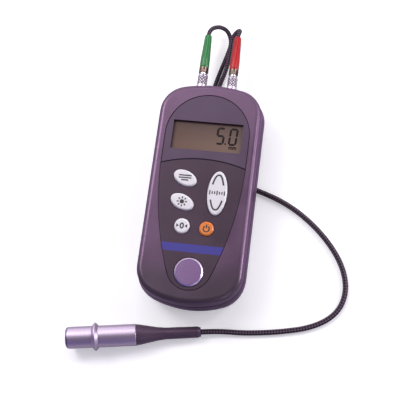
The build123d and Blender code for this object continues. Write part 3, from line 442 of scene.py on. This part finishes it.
def dress(material, *nodes):
    """Gives kept pieces of the frame a finish."""
    for node in nodes:
        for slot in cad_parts[node].material_slots:
            slot.material = material


# Housing. Two injection-moulded covers in a purple grey ABS with a fine satin grain, closed on
# a rubber seal by four screws from behind. The battery door is the same plastic. Painted shade
# darkens the foot end, and painted shade turns the gap round the face panels near black.
foot_shade_span = (-64 * MM, -40 * MM)
foot_shade_colour = (0.094, 0.069, 0.088, 1)
recess_ends = (-66 * MM, 20 * MM)
recess_halves = (13.6 * MM, 29.0 * MM)
recess_foot_y = -67.3 * MM
recess_arch_y = 38.5 * MM
recess_depths = (28.0 * MM, 29.9 * MM)
gap_shade_colour = (0.012, 0.009, 0.013, 1)

housing = moulded_finish("housing_plastic", (0.124, 0.076, 0.120), (0.136, 0.084, 0.132), grain=2200,
                         gloss=(0.30, 0.38), Metallic=0.55, Specular_IOR_Level=0.4,
                         Specular_Tint=(0.80, 0.52, 1.0, 1))
housing_tree, housing_surface, housing_colour = opened(housing)
housing_axes = own_axes(housing_tree)
# Painted shade: the foot end fades to a darker colour.
housing_foot_shade = faded(housing_tree, housing_axes["Y"], *foot_shade_span, 1.0, 0.0, smooth=True)
housing_with_foot_shade = mixed_colour(housing_tree, housing_foot_shade, housing_colour, foot_shade_colour)
recess_half = faded(housing_tree, housing_axes["Y"], *recess_ends, *recess_halves)
from_middle = worked(housing_tree, "ABSOLUTE", housing_axes["X"])
past_arch = worked(housing_tree, "SUBTRACT", housing_axes["Y"], recess_arch_y)
up_the_arch = worked(housing_tree, "MAXIMUM", past_arch, 0.0)
on_arch = place(housing_tree, "ShaderNodeCombineXYZ", {"X": housing_axes["X"], "Y": up_the_arch})
from_arch = worked_place(housing_tree, "LENGTH", on_arch.outputs[0])
# Painted shade: the floor of the gap round the face panels turns near black.
housing_gap_shade = 1.0
for distance, rule, limit in (
    (from_middle, "LESS_THAN", recess_half),
    (from_arch, "LESS_THAN", recess_halves[1]),
    (housing_axes["Y"], "GREATER_THAN", recess_foot_y),
    (housing_axes["Z"], "GREATER_THAN", recess_depths[0]),
    (housing_axes["Z"], "LESS_THAN", recess_depths[1]),
):
    within = worked(housing_tree, rule, distance, limit)
    housing_gap_shade = worked(housing_tree, "MULTIPLY", within, housing_gap_shade)
housing_tree.links.new(mixed_colour(housing_tree, housing_gap_shade, housing_with_foot_shade, gap_shade_colour),
                       housing_surface.inputs["Base Color"])
dress(housing, "front_cover", "rear_cover", "battery_door")
seal = moulded_finish("seal_rubber", (0.012, 0.010, 0.013), (0.02, 0.018, 0.022), gloss=(0.6, 0.8))
dress(seal, "case_gasket")


# Turned and ground metal. A cutting tool leaves fine lines round a turned piece, seen as
# slight changes in brightness along its axis.
turned, turned_in = start_group("turned_marks", {
    "Distance": 0.0, "Fineness": 4000.0, "Colour": (0.6, 0.6, 0.6, 1), "Bright": (0.8, 0.8, 0.8, 1),
    "Smoothest": 0.15, "Roughest": 0.3,
})
turned_steps = worked(turned, "MULTIPLY", turned_in["Distance"], turned_in["Fineness"])
turned_noise = place(turned, "ShaderNodeTexNoise", {"W": turned_steps, "Scale": 1.0, "Detail": 3.0},
                     noise_dimensions="1D").outputs["Fac"]
turned_mask = faded(turned, turned_noise, 0.3, 0.7)
end_group(turned, mixed_colour(turned, turned_mask, turned_in["Colour"], turned_in["Bright"]),
          turned_noise,
          faded(turned, turned_mask, 0.0, 1.0, turned_in["Roughest"], turned_in["Smoothest"]))


def turned_finish(name, colour, bright, start=(0, 0, 0), axis=(0, 1, 0), around=False,
                  fineness=5000, gloss=(0.15, 0.3), depth=0.004):
    """A turned metal with its marks counted along an axis, or outwards from it."""
    made, tree, surface = start_material(name, Metallic=1.0)
    spot = own_place(tree)
    if around:
        distance = reach_from(tree, spot, start)
    else:
        shifted = worked_place(tree, "SUBTRACT", spot, tuple(start))
        distance = worked_place(tree, "DOT_PRODUCT", shifted, tuple(axis))
    lay_over(tree, surface, turned, depth * MM,
             {"Distance": distance, "Fineness": fineness, "Colour": (*colour, 1),
              "Bright": (*bright, 1), "Smoothest": gloss[0], "Roughest": gloss[1]})
    return made


# Screws. Zinc-plated steel pan heads with a cross recess. Four long ones close the covers
# from behind, and short ones hold the boards.
screw_steel = turned_finish("screw_steel", (0.42, 0.41, 0.42), (0.62, 0.61, 0.62), axis=(0, 0, 1),
                            fineness=6000, gloss=(0.3, 0.45))
dress(screw_steel, "case_screws", "board_screws")


# Batteries and their contacts. Two standard cells lie side by side in a printed sleeve, dark
# with a copper-coloured end. Bright sprung strips touch them at both ends.
sleeve_print = (-29.0 * MM, -28.5 * MM)

battery_sleeve, battery_tree, battery_surface = start_material("battery_sleeve", Metallic=0.6,
                                                               Roughness=0.35)
battery_band = faded(battery_tree, own_axes(battery_tree)["Y"], *sleeve_print)
battery_tone = mixed_colour(battery_tree, battery_band, (0.03, 0.035, 0.05, 1), (0.55, 0.38, 0.18, 1))
battery_tree.links.new(battery_tone, battery_surface.inputs["Base Color"])
dress(battery_sleeve, "battery_left", "battery_right")
contact_metal = turned_finish("contact_metal", (0.60, 0.60, 0.60), (0.78, 0.78, 0.78), axis=(1, 0, 0),
                              fineness=3000, gloss=(0.2, 0.35))
dress(contact_metal, "contact_bridge", "contact_plus", "contact_minus")


# Circuit boards. Green solder mask over copper tracks, with a processor, a coil and a
# header between the two boards. Nothing of them shows from outside.
track_depth = 0.03 * MM

board_mask, board_tree, board_surface = start_material("board_mask", Roughness=0.32)
board_tracks = place(board_tree, "ShaderNodeTexBrick",
                     {"Vector": own_place(board_tree), "Color1": (0.012, 0.10, 0.035, 1),
                      "Color2": (0.015, 0.13, 0.045, 1), "Mortar": (0.03, 0.22, 0.08, 1),
                      "Scale": 160.0, "Mortar Size": 0.03})
board_tree.links.new(board_tracks.outputs["Color"], board_surface.inputs["Base Color"])
relief(board_tree, board_surface, board_tracks.outputs["Fac"], track_depth)
dress(board_mask, "main_board", "pulser_board")
chip_black = moulded_finish("chip_black", (0.012, 0.012, 0.013), (0.02, 0.02, 0.021),
                            gloss=(0.5, 0.65))
dress(chip_black, "processor_chip", "board_header", "pulse_coil", "lcd_frame")
key_rubber = moulded_finish("key_rubber", (0.11, 0.11, 0.115), (0.14, 0.14, 0.145), gloss=(0.55, 0.7))
dress(key_rubber, "keypad_mat")


# Face panels. Two thin satin polyester sheets let into the front cover. The upper one frames
# the display; the lower one is darker and carries a printed blue band above the test disc.
band_colour = (0.041, 0.042, 0.232, 1)
band_low = -41.8 * MM
band_high = -36.45 * MM
print_edge = 0.06 * MM
film_tint = (0.86, 0.63, 0.90, 1)
divide_middle = (0, -67.5 * MM, 0)
divide_line = (88.45 * MM, 89.55 * MM)
line_colour = (0.016, 0.012, 0.022, 1)


def off_the_divide(tree, colour, near, far):
    """A film's colour, turned into the dark line where near is reached going to far."""
    on_line = faded(tree, reach_from(tree, own_place(tree), divide_middle), near, far)
    return mixed_colour(tree, on_line, colour, line_colour)


display_film = moulded_finish("display_film", (0.064, 0.043, 0.066), (0.072, 0.050, 0.074),
                              grain=4200, gloss=(0.36, 0.46), depth=0.008, Specular_Tint=film_tint)
display_tree, display_surface, display_colour = opened(display_film)
display_tree.links.new(off_the_divide(display_tree, display_colour, divide_line[1] + print_edge,
                                      divide_line[1]), display_surface.inputs["Base Color"])
dress(display_film, "display_panel")
keypad_film = moulded_finish("keypad_film", (0.040, 0.025, 0.033), (0.046, 0.030, 0.039),
                             grain=4200, gloss=(0.38, 0.5), depth=0.008, Specular_Tint=film_tint)
keypad_tree, keypad_surface, keypad_colour = opened(keypad_film)
keypad_y = own_axes(keypad_tree)["Y"]
keypad_above = faded(keypad_tree, keypad_y, band_low, band_low + print_edge)
keypad_below = faded(keypad_tree, keypad_y, band_high, band_high + print_edge, 1.0, 0.0)
keypad_band = worked(keypad_tree, "MULTIPLY", keypad_above, keypad_below)
keypad_print = mixed_colour(keypad_tree, keypad_band, keypad_colour, band_colour)
keypad_tree.links.new(off_the_divide(keypad_tree, keypad_print, divide_line[0],
                                     divide_line[0] + print_edge), keypad_surface.inputs["Base Color"])
dress(keypad_film, "keypad_panel")


# Display. A liquid crystal cell behind clear glass, lit from behind by a pale plate. It is a
# warm grey brown, a little lighter at its lower right, with the reading in near black. Sizes
# of the reading are in millimetres.
glass_face_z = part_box("lcd_glass")[1].z
window_left = -23.45 * MM
window_top = 47.7 * MM
shade_width = 3.2 * MM
shade_height = 15 * MM
shade_left_share = 0.65
shade_top_share = 0.55
cell_slope_ends = (-48 * MM, 0.0)
digit_width = 4.4
digit_height = 10.9
digit_lean = 0.055
digit_stroke = 1.5
digit_gap = 0.06
digit_low = 33.8
digit_lefts = (6.4, 14.9)
lit_segments = {"5": "afgcd", "0": "abcdef"}
point_middle = (12.6, 34.0)
point_radius = 0.62
unit_stroke = 0.62
unit_height = 1.8
unit_low = 30.4
unit_lefts = (15.4, 18.1)
unit_arch = 0.5
print_thickness = 0.02 * MM

cell, cell_tree, cell_surface = start_material("display_cell", Roughness=0.34,
                                               Specular_IOR_Level=0.3)
cell_slope = worked_place(cell_tree, "DOT_PRODUCT", own_place(cell_tree), (0.7, -0.7, 0))
cell_tone = mixed_colour(cell_tree, faded(cell_tree, cell_slope, *cell_slope_ends),
                         (0.108, 0.053, 0.038, 1), (0.175, 0.115, 0.088, 1))
cell_axes = own_axes(cell_tree)
cell_from_left = faded(cell_tree, cell_axes["X"], window_left, window_left + shade_width,
                       shade_left_share, 1.0, smooth=True)
cell_from_top = faded(cell_tree, cell_axes["Y"], window_top - shade_height, window_top, 1.0,
                      shade_top_share)
cell_shade = worked(cell_tree, "MULTIPLY", cell_from_left, cell_from_top)
cell_tree.links.new(mixed_colour(cell_tree, cell_shade, (0.030, 0.018, 0.022, 1), cell_tone),
                    cell_surface.inputs["Base Color"])
dress(cell, "lcd_glass")
light_plate = moulded_finish("light_plate", (0.50, 0.46, 0.38), (0.55, 0.50, 0.42), gloss=(0.3, 0.4))
dress(light_plate, "backlight_panel")


def printed_shapes(name, outlines, base_z, material, body):
    """Thin closed prints, one for each outline of (x, y) in millimetres, on a flat face."""
    mesh = bmesh.new()
    for outline in outlines:
        lower = [mesh.verts.new((x * MM, y * MM, base_z)) for x, y in outline]
        upper = [mesh.verts.new((x * MM, y * MM, base_z + print_thickness)) for x, y in outline]
        mesh.faces.new(upper)
        mesh.faces.new(reversed(lower))
        for k in range(len(outline)):
            after = (k + 1) % len(outline)
            mesh.faces.new((lower[k], lower[after], upper[after], upper[k]))
    bmesh.ops.recalc_face_normals(mesh, faces=mesh.faces)
    piece = finished_piece(name, mesh, material)
    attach(piece, body)


def bar_segment(start, end, width):
    """A straight display segment with pointed ends."""
    (x0, y0), (x1, y1) = start, end
    run = hypot(x1 - x0, y1 - y0)
    ux, uy = (x1 - x0) / run, (y1 - y0) / run
    half = width / 2
    return [
        (x0, y0),
        (x0 + ux * half + uy * half, y0 + uy * half - ux * half),
        (x1 - ux * half + uy * half, y1 - uy * half - ux * half),
        (x1, y1),
        (x1 - ux * half - uy * half, y1 - uy * half + ux * half),
        (x0 + ux * half - uy * half, y0 + uy * half + ux * half),
    ]


def digit_segments(digit, left):
    """The lit segments of one seven-segment digit, with its lower left corner at left."""
    def corner(x, y):
        return (left + x + y * digit_lean, digit_low + y)
    middle = digit_height / 2
    ends = {
        "a": ((0, digit_height), (digit_width, digit_height)),
        "b": ((digit_width, digit_height), (digit_width, middle)),
        "c": ((digit_width, middle), (digit_width, 0)),
        "d": ((0, 0), (digit_width, 0)),
        "e": ((0, middle), (0, 0)),
        "f": ((0, digit_height), (0, middle)),
        "g": ((0, middle), (digit_width, middle)),
    }
    outlines = []
    for letter in lit_segments[digit]:
        (x0, y0), (x1, y1) = ends[letter]
        run = hypot(x1 - x0, y1 - y0)
        ease_x = (x1 - x0) / run * digit_gap
        ease_y = (y1 - y0) / run * digit_gap
        outlines.append(bar_segment(corner(x0 + ease_x, y0 + ease_y),
                                    corner(x1 - ease_x, y1 - ease_y), digit_stroke))
    return outlines


def stroke(points, width):
    """The outline of a line of even width through the points."""
    left_side, right_side = [], []
    for i, (x, y) in enumerate(points):
        before = points[max(i - 1, 0)]
        after = points[min(i + 1, len(points) - 1)]
        heading = atan2(after[1] - before[1], after[0] - before[0])
        ox, oy = -sin(heading) * width / 2, cos(heading) * width / 2
        left_side.append((x + ox, y + oy))
        right_side.append((x - ox, y - oy))
    return left_side + right_side[::-1]


def arc(centre, radius, start, end, steps):
    """Points along a circle's arc, with its angles in degrees."""
    angles = [radians(start + (end - start) * k / steps) for k in range(steps + 1)]
    return [(centre[0] + radius * cos(a), centre[1] + radius * sin(a)) for a in angles]


reading = digit_segments("5", digit_lefts[0]) + digit_segments("0", digit_lefts[1])
reading.append(arc(point_middle, point_radius, 0, 345, 15))
for unit_left in unit_lefts:
    reading.append(stroke([(unit_left, unit_low), (unit_left, unit_low + unit_height)], unit_stroke))
    for arch in (0, 1):
        arch_x = unit_left + unit_arch * (1 + 2 * arch)
        curved = arc((arch_x, unit_low + unit_height - unit_arch), unit_arch, 170, 0, 8)
        reading.append(stroke(curved + [(arch_x + unit_arch, unit_low)], unit_stroke))
segment_ink = moulded_finish("segment_ink", (0.010, 0.006, 0.006), (0.014, 0.009, 0.009),
                             gloss=(0.4, 0.5), Specular_IOR_Level=0.15)
printed_shapes("lcd_reading", reading, glass_face_z, segment_ink, "gauge")


# Keys. Four slightly translucent white caps and one orange cap, all satin. The tall one rocks
# on two pins, and its arrows point to its two ends. Each cap carries a plain symbol in black
# ink. Sizes of the symbols are in millimetres, from the middle of the key.
key_face_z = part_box("key_mode")[1].z
legend_stroke = 0.85
menu_lines = ((4.2, 1.6), (4.2, 0.0), (2.4, -1.6))
lamp_radius = 1.45
ray_start, ray_end = 2.1, 3.4
nought_half_width, nought_half_height = 1.0, 1.65
pointer_tip, pointer_back, pointer_half = 1.9, 3.6, 1.2
power_middle = (0, -0.3)
power_radius = 1.95
power_bar = ((0, 0.2), (0, 2.5))
arrow_stroke = 1.05
arrow_bend = 2.4
upper_arrow = (12.1, 5.4, 3.6)
lower_arrow = (11.4, 4.9, 3.8)
mark_stroke = 0.75
mark_step = 1.6
mark_halves = (1.5, 0.9, 0.9, 1.5, 0.9, 0.9, 1.5)

white_cap = moulded_finish("white_cap", (0.67, 0.65, 0.67), (0.71, 0.69, 0.71), grain=3600,
                           gloss=(0.32, 0.42), depth=0.008, Subsurface_Weight=0.6,
                           Subsurface_Scale=1.2 * MM, Subsurface_Radius=(1.0, 1.0, 1.0))
orange_cap = moulded_finish("orange_cap", (0.65, 0.175, 0.030), (0.69, 0.200, 0.038), grain=3600,
                            gloss=(0.3, 0.4), depth=0.008)
dress(white_cap, "key_mode", "key_lamp", "key_zero", "key_select")
dress(orange_cap, "key_power")
legend_ink = moulded_finish("legend_ink", (0.020, 0.018, 0.022), (0.028, 0.025, 0.030),
                            gloss=(0.45, 0.6))


def print_key(node, outlines):
    """Prints outlines, given from the middle of a key, on its face."""
    low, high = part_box(node)
    middle_x, middle_y = (low.x + high.x) / 2 / MM, (low.y + high.y) / 2 / MM
    moved = [[(x + middle_x, y + middle_y) for x, y in outline] for outline in outlines]
    printed_shapes("legend_" + node, moved, key_face_z, legend_ink, node)


def lamp_ray(angle):
    """One ray of the lamp sign."""
    across, up = cos(radians(angle)), sin(radians(angle))
    return stroke([(ray_start * across, ray_start * up), (ray_end * across, ray_end * up)],
                  legend_stroke)


def half_nought(start, steps=12):
    """One half of the nought, from an angle in degrees to the one across from it."""
    angles = [radians(start + 180 * k / steps) for k in range(steps + 1)]
    return stroke([(nought_half_width * cos(a), nought_half_height * sin(a)) for a in angles],
                  legend_stroke)


def arrow(side, tip, foot, half_width, steps=12):
    """A rounded arrowhead that opens towards the key's middle."""
    parts = [k / steps for k in range(-steps, steps + 1)]
    return stroke([(half_width * u, side * (tip - (tip - foot) * abs(u) ** arrow_bend))
                   for u in parts], arrow_stroke)


print_key("key_mode", [stroke([(-half, y), (half, y)], legend_stroke) for half, y in menu_lines])
print_key("key_lamp", [lamp_ray(angle) for angle in range(0, 360, 45)]
          + [arc((0, 0), lamp_radius, 0, 345, 23)])
print_key("key_zero", [half_nought(0), half_nought(180)]
          + [[(side * pointer_tip, 0), (side * pointer_back, pointer_half),
              (side * pointer_back, -pointer_half)] for side in (-1, 1)])
print_key("key_power", [stroke(arc(power_middle, power_radius, 125, 415, 24), legend_stroke),
                        stroke(power_bar, legend_stroke)])
mark_places = [(k - len(mark_halves) // 2) * mark_step for k in range(len(mark_halves))]
centre_marks = [stroke([(x, -half), (x, half)], mark_stroke)
                for x, half in zip(mark_places, mark_halves)]
print_key("key_select", [arrow(1, *upper_arrow), arrow(-1, *lower_arrow)] + centre_marks)


# Zero disc. A ground and chromed steel disc of known thickness that the probe is set on,
# held by a nut behind the cover. Its edge has a rougher, blasted bevel, and its brighter
# colour there is a painted highlight.
disc_middle = (0, -54.6 * MM, 0)
disc_bevel_start = 8.35 * MM
disc_bevel_edge = 0.1 * MM
disc_bevel_roughness = 0.42

disc_metal = turned_finish("disc_metal", (0.41, 0.262, 0.49), (0.47, 0.308, 0.56), disc_middle,
                           around=True, gloss=(0.24, 0.32), depth=0.001)
disc_tree, disc_surface, disc_colour = opened(disc_metal)
# The bevel is rougher, and its brighter colour is a painted highlight.
disc_bevel_and_highlight = faded(disc_tree, reach_from(disc_tree, own_place(disc_tree), disc_middle),
                   disc_bevel_start, disc_bevel_start + disc_bevel_edge)
disc_gloss = place(disc_tree, "ShaderNodeMix",
                   {"Factor": disc_bevel_and_highlight, "A": disc_surface.inputs["Roughness"].links[0].from_socket,
                    "B": disc_bevel_roughness})
disc_tree.links.new(mixed_colour(disc_tree, disc_bevel_and_highlight, disc_colour, (0.80, 0.68, 0.84, 1)),
                    disc_surface.inputs["Base Color"])
disc_tree.links.new(disc_gloss.outputs["Result"], disc_surface.inputs["Roughness"])
dress(disc_metal, "zero_disc", "disc_nut")


# Plugs and sockets. Nickel-plated brass push-pull plugs: a grooved sleeve that slides back to
# unlock, a collar with flats, an inner body, and a socket held by a nut inside the housing.
# A soft boot in green or red covers each plug's tail. Sizes of the sleeve are in millimetres.
plug_axis_x = 10.5
plug_axis_z = 14.5
sleeve_bore = 2.58
sleeve_radius = 3.4
sleeve_front = ((0.0, sleeve_bore), (0.0, 3.3), (0.3, 3.6), (1.6, 3.6), (1.8, sleeve_radius))
sleeve_rear = ((8.8, sleeve_radius), (9.8, 3.1), (9.8, sleeve_bore), (0.0, sleeve_bore))
groove_shade_colour = (0.05, 0.04, 0.05, 1)
groove_shade_reach = (3.2 * MM, 3.38 * MM)
knurl_start, knurl_end = 2.1, 8.5
knurl_run_out = 0.25
knurl_rows = 52
knurl_sides = 144
knurl_columns = 10
knurl_pitch = 2.14
knurl_depth = 0.24
knurl_half_groove = 0.3
boot_lit = (14.5 * MM, 16.4 * MM)

plug_metal = turned_finish("plug_metal", (0.60, 0.55, 0.60), (0.74, 0.70, 0.74), gloss=(0.16, 0.28))
dress(plug_metal, "plug_body_left", "plug_body_right", "socket_body_left", "socket_body_right",
      "socket_nuts")
sleeve_metal = turned_finish("sleeve_metal", (0.52, 0.46, 0.53), (0.66, 0.59, 0.67),
                             gloss=(0.24, 0.34))
sleeve_tree, sleeve_surface, sleeve_colour = opened(sleeve_metal)
sleeve_spot = worked_place(sleeve_tree, "ABSOLUTE", own_place(sleeve_tree))
sleeve_reach = reach_from(sleeve_tree, sleeve_spot, (plug_axis_x * MM, 0, plug_axis_z * MM), (1, 0, 1))
# Painted shade: the bottoms of the crossed grooves turn near black.
sleeve_out_of_groove_shade = faded(sleeve_tree, sleeve_reach, *groove_shade_reach)
sleeve_tree.links.new(mixed_colour(sleeve_tree, sleeve_out_of_groove_shade, groove_shade_colour, sleeve_colour),
                      sleeve_surface.inputs["Base Color"])


def knurl_cut(turn, distance):
    """How deep the crossed grooves are at an angle and a distance along the sleeve."""
    around = knurl_columns * turn / (2 * pi)
    along = distance / knurl_pitch
    near = min(abs(t - round(t)) for t in (around + along, around - along))
    ends = min(1.0, (distance - knurl_start) / knurl_run_out, (knurl_end - distance) / knurl_run_out)
    return knurl_depth * max(0.0, 1 - near / knurl_half_groove) * ends


def grooved_sleeve(name, middle_x, start_y):
    """A turned sleeve with crossed grooves round its middle."""
    rows = [(distance, radius, False) for distance, radius in sleeve_front]
    rows += [(knurl_start + (knurl_end - knurl_start) * k / (knurl_rows - 1), sleeve_radius, True)
             for k in range(knurl_rows)]
    rows += [(distance, radius, False) for distance, radius in sleeve_rear]
    mesh = bmesh.new()
    rings = []
    for distance, radius, cut in rows:
        ring = []
        for k in range(knurl_sides):
            turn = 2 * pi * k / knurl_sides
            here = radius - (knurl_cut(turn, distance) if cut else 0)
            ring.append(mesh.verts.new((Vector((middle_x + cos(turn) * here, start_y + distance,
                                                plug_axis_z + sin(turn) * here))) * MM))
        rings.append(ring)
    for near, far in zip(rings, rings[1:]):
        for k in range(knurl_sides):
            after = (k + 1) % knurl_sides
            mesh.faces.new((near[k], near[after], far[after], far[k]))
    bmesh.ops.remove_doubles(mesh, verts=mesh.verts, dist=0.001 * MM)
    bmesh.ops.recalc_face_normals(mesh, faces=mesh.faces)
    return finished_piece(name, mesh, sleeve_metal)


for node, middle_x in (("plug_sleeve_left", -plug_axis_x), ("plug_sleeve_right", plug_axis_x)):
    sleeve = grooved_sleeve(node + "_knurled", middle_x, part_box(node)[0].y / MM)
    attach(sleeve, node)
    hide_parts(node)
collar_metal = turned_finish("collar_metal", (0.085, 0.060, 0.050), (0.14, 0.100, 0.080),
                             gloss=(0.12, 0.20))
dress(collar_metal, "plug_collar_left", "plug_collar_right")
gold_plate = turned_finish("gold_plate", (0.75, 0.55, 0.22), (0.85, 0.65, 0.30), gloss=(0.2, 0.3))
dress(gold_plate, "plug_pin_left", "plug_pin_right", "socket_contact_left", "socket_contact_right")
insulator_white = moulded_finish("insulator_white", (0.70, 0.70, 0.67), (0.75, 0.75, 0.72),
                                 gloss=(0.45, 0.55))
dress(insulator_white, "plug_insulator_left", "plug_insulator_right", "socket_insulator_left",
      "socket_insulator_right")
for boot, material_name, colour, rubbed, shaded, gloss_coat in (
    ("boot_green", "green_rubber", (0.010, 0.160, 0.032), (0.014, 0.185, 0.040),
     (0.006, 0.045, 0.014, 1), 0.7),
    ("boot_red", "red_rubber", (0.40, 0.004, 0.007), (0.44, 0.006, 0.009),
     (0.10, 0.004, 0.005, 1), 0.4),
):
    boot_rubber = moulded_finish(material_name, colour, rubbed, gloss=(0.30, 0.38), depth=0.002,
                                 Specular_IOR_Level=0.1, Coat_Weight=gloss_coat,
                                 Coat_Roughness=0.05)
    boot_tree, boot_surface, boot_colour = opened(boot_rubber)
    boot_upper = faded(boot_tree, own_axes(boot_tree)["Z"], *boot_lit, smooth=True)
    boot_tree.links.new(mixed_colour(boot_tree, boot_upper, shaded, boot_colour),
                        boot_surface.inputs["Base Color"])
    dress(boot_rubber, boot)


# Splitter and probe boot. Soft black PVC moulded over the cable, where the two leads join
# into one and where that one enters the probe.
relief_rubber = moulded_finish("boot_rubber", (0.060, 0.036, 0.060), (0.068, 0.042, 0.068),
                               grain=3000, gloss=(0.36, 0.5), depth=0.015,
                               Specular_Tint=(1.0, 0.72, 1.0, 1))
dress(relief_rubber, "cable_splitter", "probe_boot")


# Probe. A turned stainless tube with a raised ring for the fingers. Its upper side is painted
# bright and its lower side and front lip dark, as painted light and painted shade. In its front
# sit two clear delay blocks with cork between them, a crystal behind each and a cast backing.
probe_up = (Vector((0, 0, 1)) - probe_line * probe_line.z).normalized()
probe_lit_rise = (-1.2 * MM, 2.2 * MM)
probe_lip_shade = (0.9 * MM, 1.5 * MM)
probe_lip_shade_share = 0.25
probe_shade_colour = (0.10, 0.075, 0.19, 1)

probe_metal = turned_finish("probe_metal", (0.49, 0.40, 0.52), (0.59, 0.49, 0.62), probe_front,
                            probe_line, fineness=2600, gloss=(0.40, 0.52))
probe_tree, probe_surface, probe_colour = opened(probe_metal)
probe_from = worked_place(probe_tree, "SUBTRACT", own_place(probe_tree), tuple(probe_front))
probe_rise = worked_place(probe_tree, "DOT_PRODUCT", probe_from, tuple(probe_up))
# Painted light and painted shade: the upper side is painted bright, the lower side and the front lip
# dark.
probe_lit = faded(probe_tree, probe_rise, *probe_lit_rise, smooth=True)
probe_along = worked_place(probe_tree, "DOT_PRODUCT", probe_from, tuple(probe_line))
probe_past_lip_shade = faded(probe_tree, probe_along, *probe_lip_shade, probe_lip_shade_share, 1.0, smooth=True)
probe_painted_light = worked(probe_tree, "MULTIPLY", probe_lit, probe_past_lip_shade)
probe_tree.links.new(mixed_colour(probe_tree, probe_painted_light, probe_shade_colour, probe_colour),
                     probe_surface.inputs["Base Color"])
dress(probe_metal, "probe_shell")
delay_resin = moulded_finish("delay_resin", (0.34, 0.25, 0.12), (0.38, 0.29, 0.15), gloss=(0.2, 0.3))
dress(delay_resin, "probe_delay_left", "probe_delay_right")
cork = moulded_finish("cork", (0.10, 0.055, 0.03), (0.18, 0.11, 0.06), grain=1800, gloss=(0.8, 0.9),
                      depth=0.05)
dress(cork, "probe_barrier")
ceramic = moulded_finish("ceramic", (0.60, 0.57, 0.48), (0.66, 0.63, 0.54), gloss=(0.35, 0.45))
dress(ceramic, "probe_crystal_left", "probe_crystal_right")
cast_backing = moulded_finish("cast_backing", (0.09, 0.08, 0.075), (0.12, 0.11, 0.10), grain=1500,
                              gloss=(0.6, 0.8), depth=0.04)
dress(cast_backing, "probe_backing")
